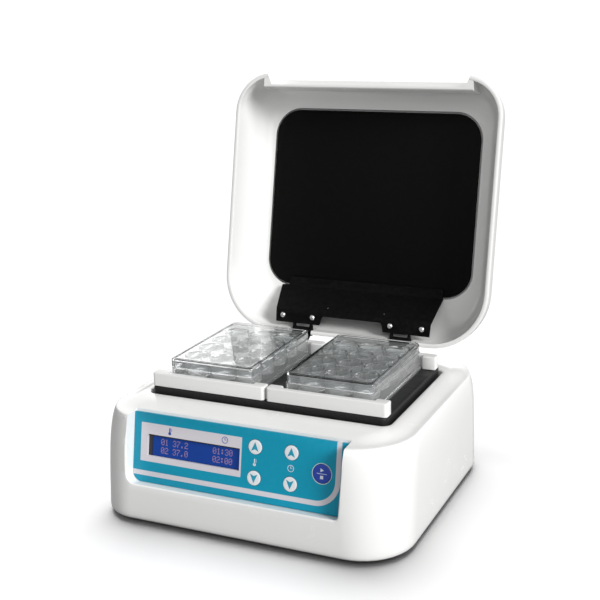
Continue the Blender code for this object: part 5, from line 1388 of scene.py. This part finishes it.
def make_symbols():
    """A thermometer and a clock above the display, small ones beside the keys."""
    for name, finish, spots in SYMBOLS:
        stacks = []
        for x, z, kind in spots:
            if kind == "heat":
                add_symbol_part(stacks, circle(0.0014, 16), (x, z - 0.0018))
                stem = [(-0.00055, -0.0014), (0.00055, -0.0014), (0.00055, 0.0029), (0.0, 0.0034),
                        (-0.00055, 0.0029)]
                add_symbol_part(stacks, stem, (x, z))
                for step in range(3):
                    tick = [(0.0010, -0.00016), (0.0021, -0.00016), (0.0021, 0.00016), (0.0010, 0.00016)]
                    add_symbol_part(stacks, tick, (x, z + 0.0004 + step * 0.0010))
            else:
                symbol_rings(stacks, (x, z), 0.0030, 0.0005)
                hand = [(-0.00023, 0.0), (0.00023, 0.0), (0.00023, 0.0020), (-0.00023, 0.0020)]
                add_symbol_part(stacks, hand, (x, z))
                add_symbol_part(stacks, hand, (x, z), 0.75, -math.pi / 2)
        settle(lofts(name, stacks), PANEL, FINISHES[finish], "base", "teal_film")


DIGITS = {
    "0": "01110 10001 10011 10101 11001 10001 01110", "1": "00100 01100 00100 00100 00100 00100 01110",
    "2": "01110 10001 00001 00110 01000 10000 11111", "3": "01110 10001 00001 00110 00001 10001 01110",
    "7": "11111 00001 00010 00100 01000 01000 01000", ":": "00000 01100 01100 00000 01100 01100 00000",
    ".": "00000 00000 00000 00000 00000 01100 01100", " ": "00000 00000 00000 00000 00000 00000 00000",
}
DIGIT_PITCH = 0.00395
DOT = 0.00066
ROWS = ((0.0380, "01 37.2", "01:30"), (0.0305, "02 37.0", "02:00"))


def make_display():
    """A black frame, the blue glass set off-centre in it so that the frame shows at the window's left and top
    as painted shadow, and figures drawn in square dots.
    """
    x, z, half_x, half_z = WINDOW
    front = DISPLAY_LOW.y
    centre = (DISPLAY_LOW + DISPLAY_HIGH) / 2
    half = (DISPLAY_HIGH - DISPLAY_LOW) / 2
    outline = box_outline(centre.x, centre.z, half.x, half.z, 0.0008)
    casing = loft("display_casing", [facing(outline, DISPLAY_HIGH.y), facing(outline, front)])
    # The glass sits 1.5 mm right of and 0.9 mm below the window's middle, so a strip of black frame shows at
    # its left and top edges: painted shade for the window's shadow.
    glass = (x + 0.0015, z - 0.0009, half_x - 0.0019, half_z - 0.0007)
    cut(casing, prism("glass_seat", box_outline(*glass, 0.0003), front - 0.003, front + 0.0009))
    settle(casing, PANEL, FINISHES["black_plastic"], "base", "black_plastic", "display")
    edge = 0.0002
    rings = [facing(box_outline(glass[0], glass[1], glass[2] - GAP / 2 - inset,
                                glass[3] - GAP / 2 - inset, 0.0003), y)
             for inset, y in ((0.0, front + 0.0008), (0.0, front + 0.0003 + edge), (edge, front + 0.0003))]
    settle(loft("display_glass_pane", rings), PANEL, FINISHES["display_blue"], "base", "display_blue")
    dots = []
    for row_z, left_text, right_text in ROWS:
        for text, start in ((left_text, -0.0831), (right_text, -0.0313)):
            for place, letter in enumerate(text):
                for line, cells in enumerate(DIGITS[letter].split()):
                    for column, cell in enumerate(cells):
                        if cell == "1":
                            dot_x = start + place * DIGIT_PITCH + column * DOT * 1.04
                            dot_z = row_z + (3 - line) * DOT * 1.22
                            outline = box_outline(dot_x, dot_z, DOT * 0.46, DOT * 0.54, 0.00004, 1)
                            dots.append([facing(outline, front + 0.00032), facing(outline, front + 0.00024)])
    settle(lofts("display_dots", dots), PANEL, FINISHES["pixel"], "base", "display_blue")


# ---------------------------------------------------------------- rear connectors
def make_inlet_pins():
    """Three flat contact pins standing in the mains socket."""
    low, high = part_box("power_inlet")
    x, z = (low.x + high.x) / 2, (low.z + high.z) / 2
    stacks = []
    for px, pz in ((0.0, 0.0030), (-0.0070, -0.0020), (0.0070, -0.0020)):
        rings = []
        for inset, y in ((0.0, high.y - 0.0195), (0.0, high.y - 0.0060), (0.0004, high.y - 0.0050)):
            rings.append(facing(box_outline(x + px, z + pz, 0.0010 - inset, 0.0020 - inset, 0.0003, 2), y))
        stacks.append(rings)
    settle(lofts("inlet_pins", stacks), Matrix.Identity(4), FINISHES["steel"], "base", "steel")


# ---------------------------------------------------------------- build
make_housing()
make_slab()
make_rails()
make_plates()
make_lid()
make_lid_plate()
make_bracket()
make_screws()
make_fascia()
make_keys()
make_symbols()
make_display()
make_inlet_pins()

SHOWN_NODES = [name for name, piece in frame["nodes"].items() if not piece.hide_render]
for name in SHOWN_NODES:
    piece = frame["nodes"][name]
    for slot in piece.material_slots:
        slot.material = FINISHES[slot.material.name.split(".")[0]]


# ---------------------------------------------------------------- camera
def make_camera():
    """A camera at eye height, right of the middle, that looks slightly down on the panel and the platform."""
    back = Vector((0.4034, -0.8749, 0.2679)).normalized()
    right = Vector((0.9104, 0.4131, -0.0219))
    right = (right - back * right.dot(back)).normalized()
    up = back.cross(right)
    spot = Vector((0.420298, CENTRE_Y - 0.904454, 0.459207))
    data = bpy.data.cameras.new("studio_camera")
    data.lens = 67.90
    data.sensor_width = 36.0
    data.clip_start = 0.05
    camera = bpy.data.objects.new("studio_camera", data)
    camera.matrix_world = Matrix((
        (right.x, up.x, back.x, spot.x), (right.y, up.y, back.y, spot.y), (right.z, up.z, back.z, spot.z),
        (0.0, 0.0, 0.0, 1.0)))
    bpy.context.scene.collection.objects.link(camera)
    bpy.context.scene.camera = camera


# ---------------------------------------------------------------- studio
WORLD_LIGHT = 0.14
WORLD_GLINT = 0.76                               # what glossy and clear surfaces see round them
FLOOR_BOUNCE = 0.38


def add_sun(name, spot, energy, width):
    """A sun that shines from a spot towards the origin, width degrees wide."""
    data = bpy.data.lights.new(name, "SUN")
    data.energy = energy
    data.angle = math.radians(width)
    light = bpy.data.objects.new(name, data)
    light.rotation_euler = Vector(spot).to_track_quat("Z", "Y").to_euler()
    light.location = spot
    bpy.context.scene.collection.objects.link(light)
    return light


def make_floor():
    """A wide pale sweep with a soft, almost invisible mottle. It throws only part of its light back up."""
    floor = open_piece("studio_floor")
    bpy.ops.mesh.primitive_circle_add(vertices=64, radius=12.0)
    bpy.ops.mesh.edge_face_add()
    close_piece(floor)
    material, tree, shader, point = start_finish("studio_paper", Specular_IOR_Level=0.0, Roughness=0.9)
    mottle = add_node(tree, "TexNoise", {"Vector": point}, {"Scale": 3.0, "Detail": 2.0})
    colour = blend_colour(tree, mottle.outputs["Fac"], (0.93, 0.93, 0.93), (0.95, 0.95, 0.95))
    tree.links.new(colour, shader.inputs["Base Color"])
    dim = add_node(tree, "BsdfDiffuse", values={"Color": (FLOOR_BOUNCE, FLOOR_BOUNCE, FLOOR_BOUNCE, 1.0)})
    path = add_node(tree, "LightPath")
    blend = add_node(tree, "MixShader",
                     {0: path.outputs["Is Camera Ray"], 1: dim.outputs[0], 2: shader.outputs[0]})
    tree.links.new(blend.outputs[0], tree.nodes["Material Output"].inputs["Surface"])
    floor.data.materials.append(material)


def make_world():
    """White behind the object. A dimmer, even grey lights it, and glossy faces mirror a bright room."""
    world = bpy.data.worlds.new("studio_world")
    world.use_nodes = True
    tree = world.node_tree
    tree.nodes.clear()
    path = tree.nodes.new("ShaderNodeLightPath")
    mirrored = tree.nodes.new("ShaderNodeMath")
    mirrored.operation = "MAXIMUM"
    tree.links.new(path.outputs["Is Glossy Ray"], mirrored.inputs[0])
    tree.links.new(path.outputs["Is Transmission Ray"], mirrored.inputs[1])
    level = tree.nodes.new("ShaderNodeMapRange")
    level.inputs["To Min"].default_value = WORLD_LIGHT
    level.inputs["To Max"].default_value = WORLD_GLINT
    tree.links.new(mirrored.outputs[0], level.inputs["Value"])
    seen = tree.nodes.new("ShaderNodeBackground")
    seen.inputs["Color"].default_value = (1.0, 1.0, 1.0, 1.0)
    seen.inputs["Strength"].default_value = 1.2
    lit = tree.nodes.new("ShaderNodeBackground")
    lit.inputs["Color"].default_value = (1.0, 1.0, 1.0, 1.0)
    tree.links.new(level.outputs["Result"], lit.inputs["Strength"])
    blend = tree.nodes.new("ShaderNodeMixShader")
    out = tree.nodes.new("ShaderNodeOutputWorld")
    tree.links.new(path.outputs["Is Camera Ray"], blend.inputs[0])
    tree.links.new(lit.outputs[0], blend.inputs[1])
    tree.links.new(seen.outputs[0], blend.inputs[2])
    tree.links.new(blend.outputs[0], out.inputs["Surface"])
    bpy.context.scene.world = world


make_camera()
make_floor()
make_world()
bpy.context.scene.view_settings.view_transform = "Standard"
only_floor = bpy.data.collections.new("floor_alone")
only_floor.objects.link(bpy.data.objects["studio_floor"])
add_sun("key_light", (0.82, -0.32, 0.48), 3.3, 24.0)
add_sun("front_light", (0.30, -0.80, 0.50), 0.80, 50.0)
add_sun("top_light", (0.05, 0.50, 0.87), 0.55, 50.0)
add_sun("rear_light", (-0.55, 0.75, 0.12), 0.80, 50.0)
for name in ("key_light", "front_light", "top_light", "rear_light"):
    linking = bpy.data.objects[name].light_linking
    linking.receiver_collection = bpy.data.collections.new(f"{name}_receivers")
    linking.receiver_collection.objects.link(bpy.data.objects["studio_floor"])
    linking.receiver_collection.collection_objects[0].light_linking.link_state = "EXCLUDE"
floor_light = add_sun("floor_light", (-0.16, 0.40, 0.90), 3.5, 50.0)
floor_light.light_linking.receiver_collection = only_floor
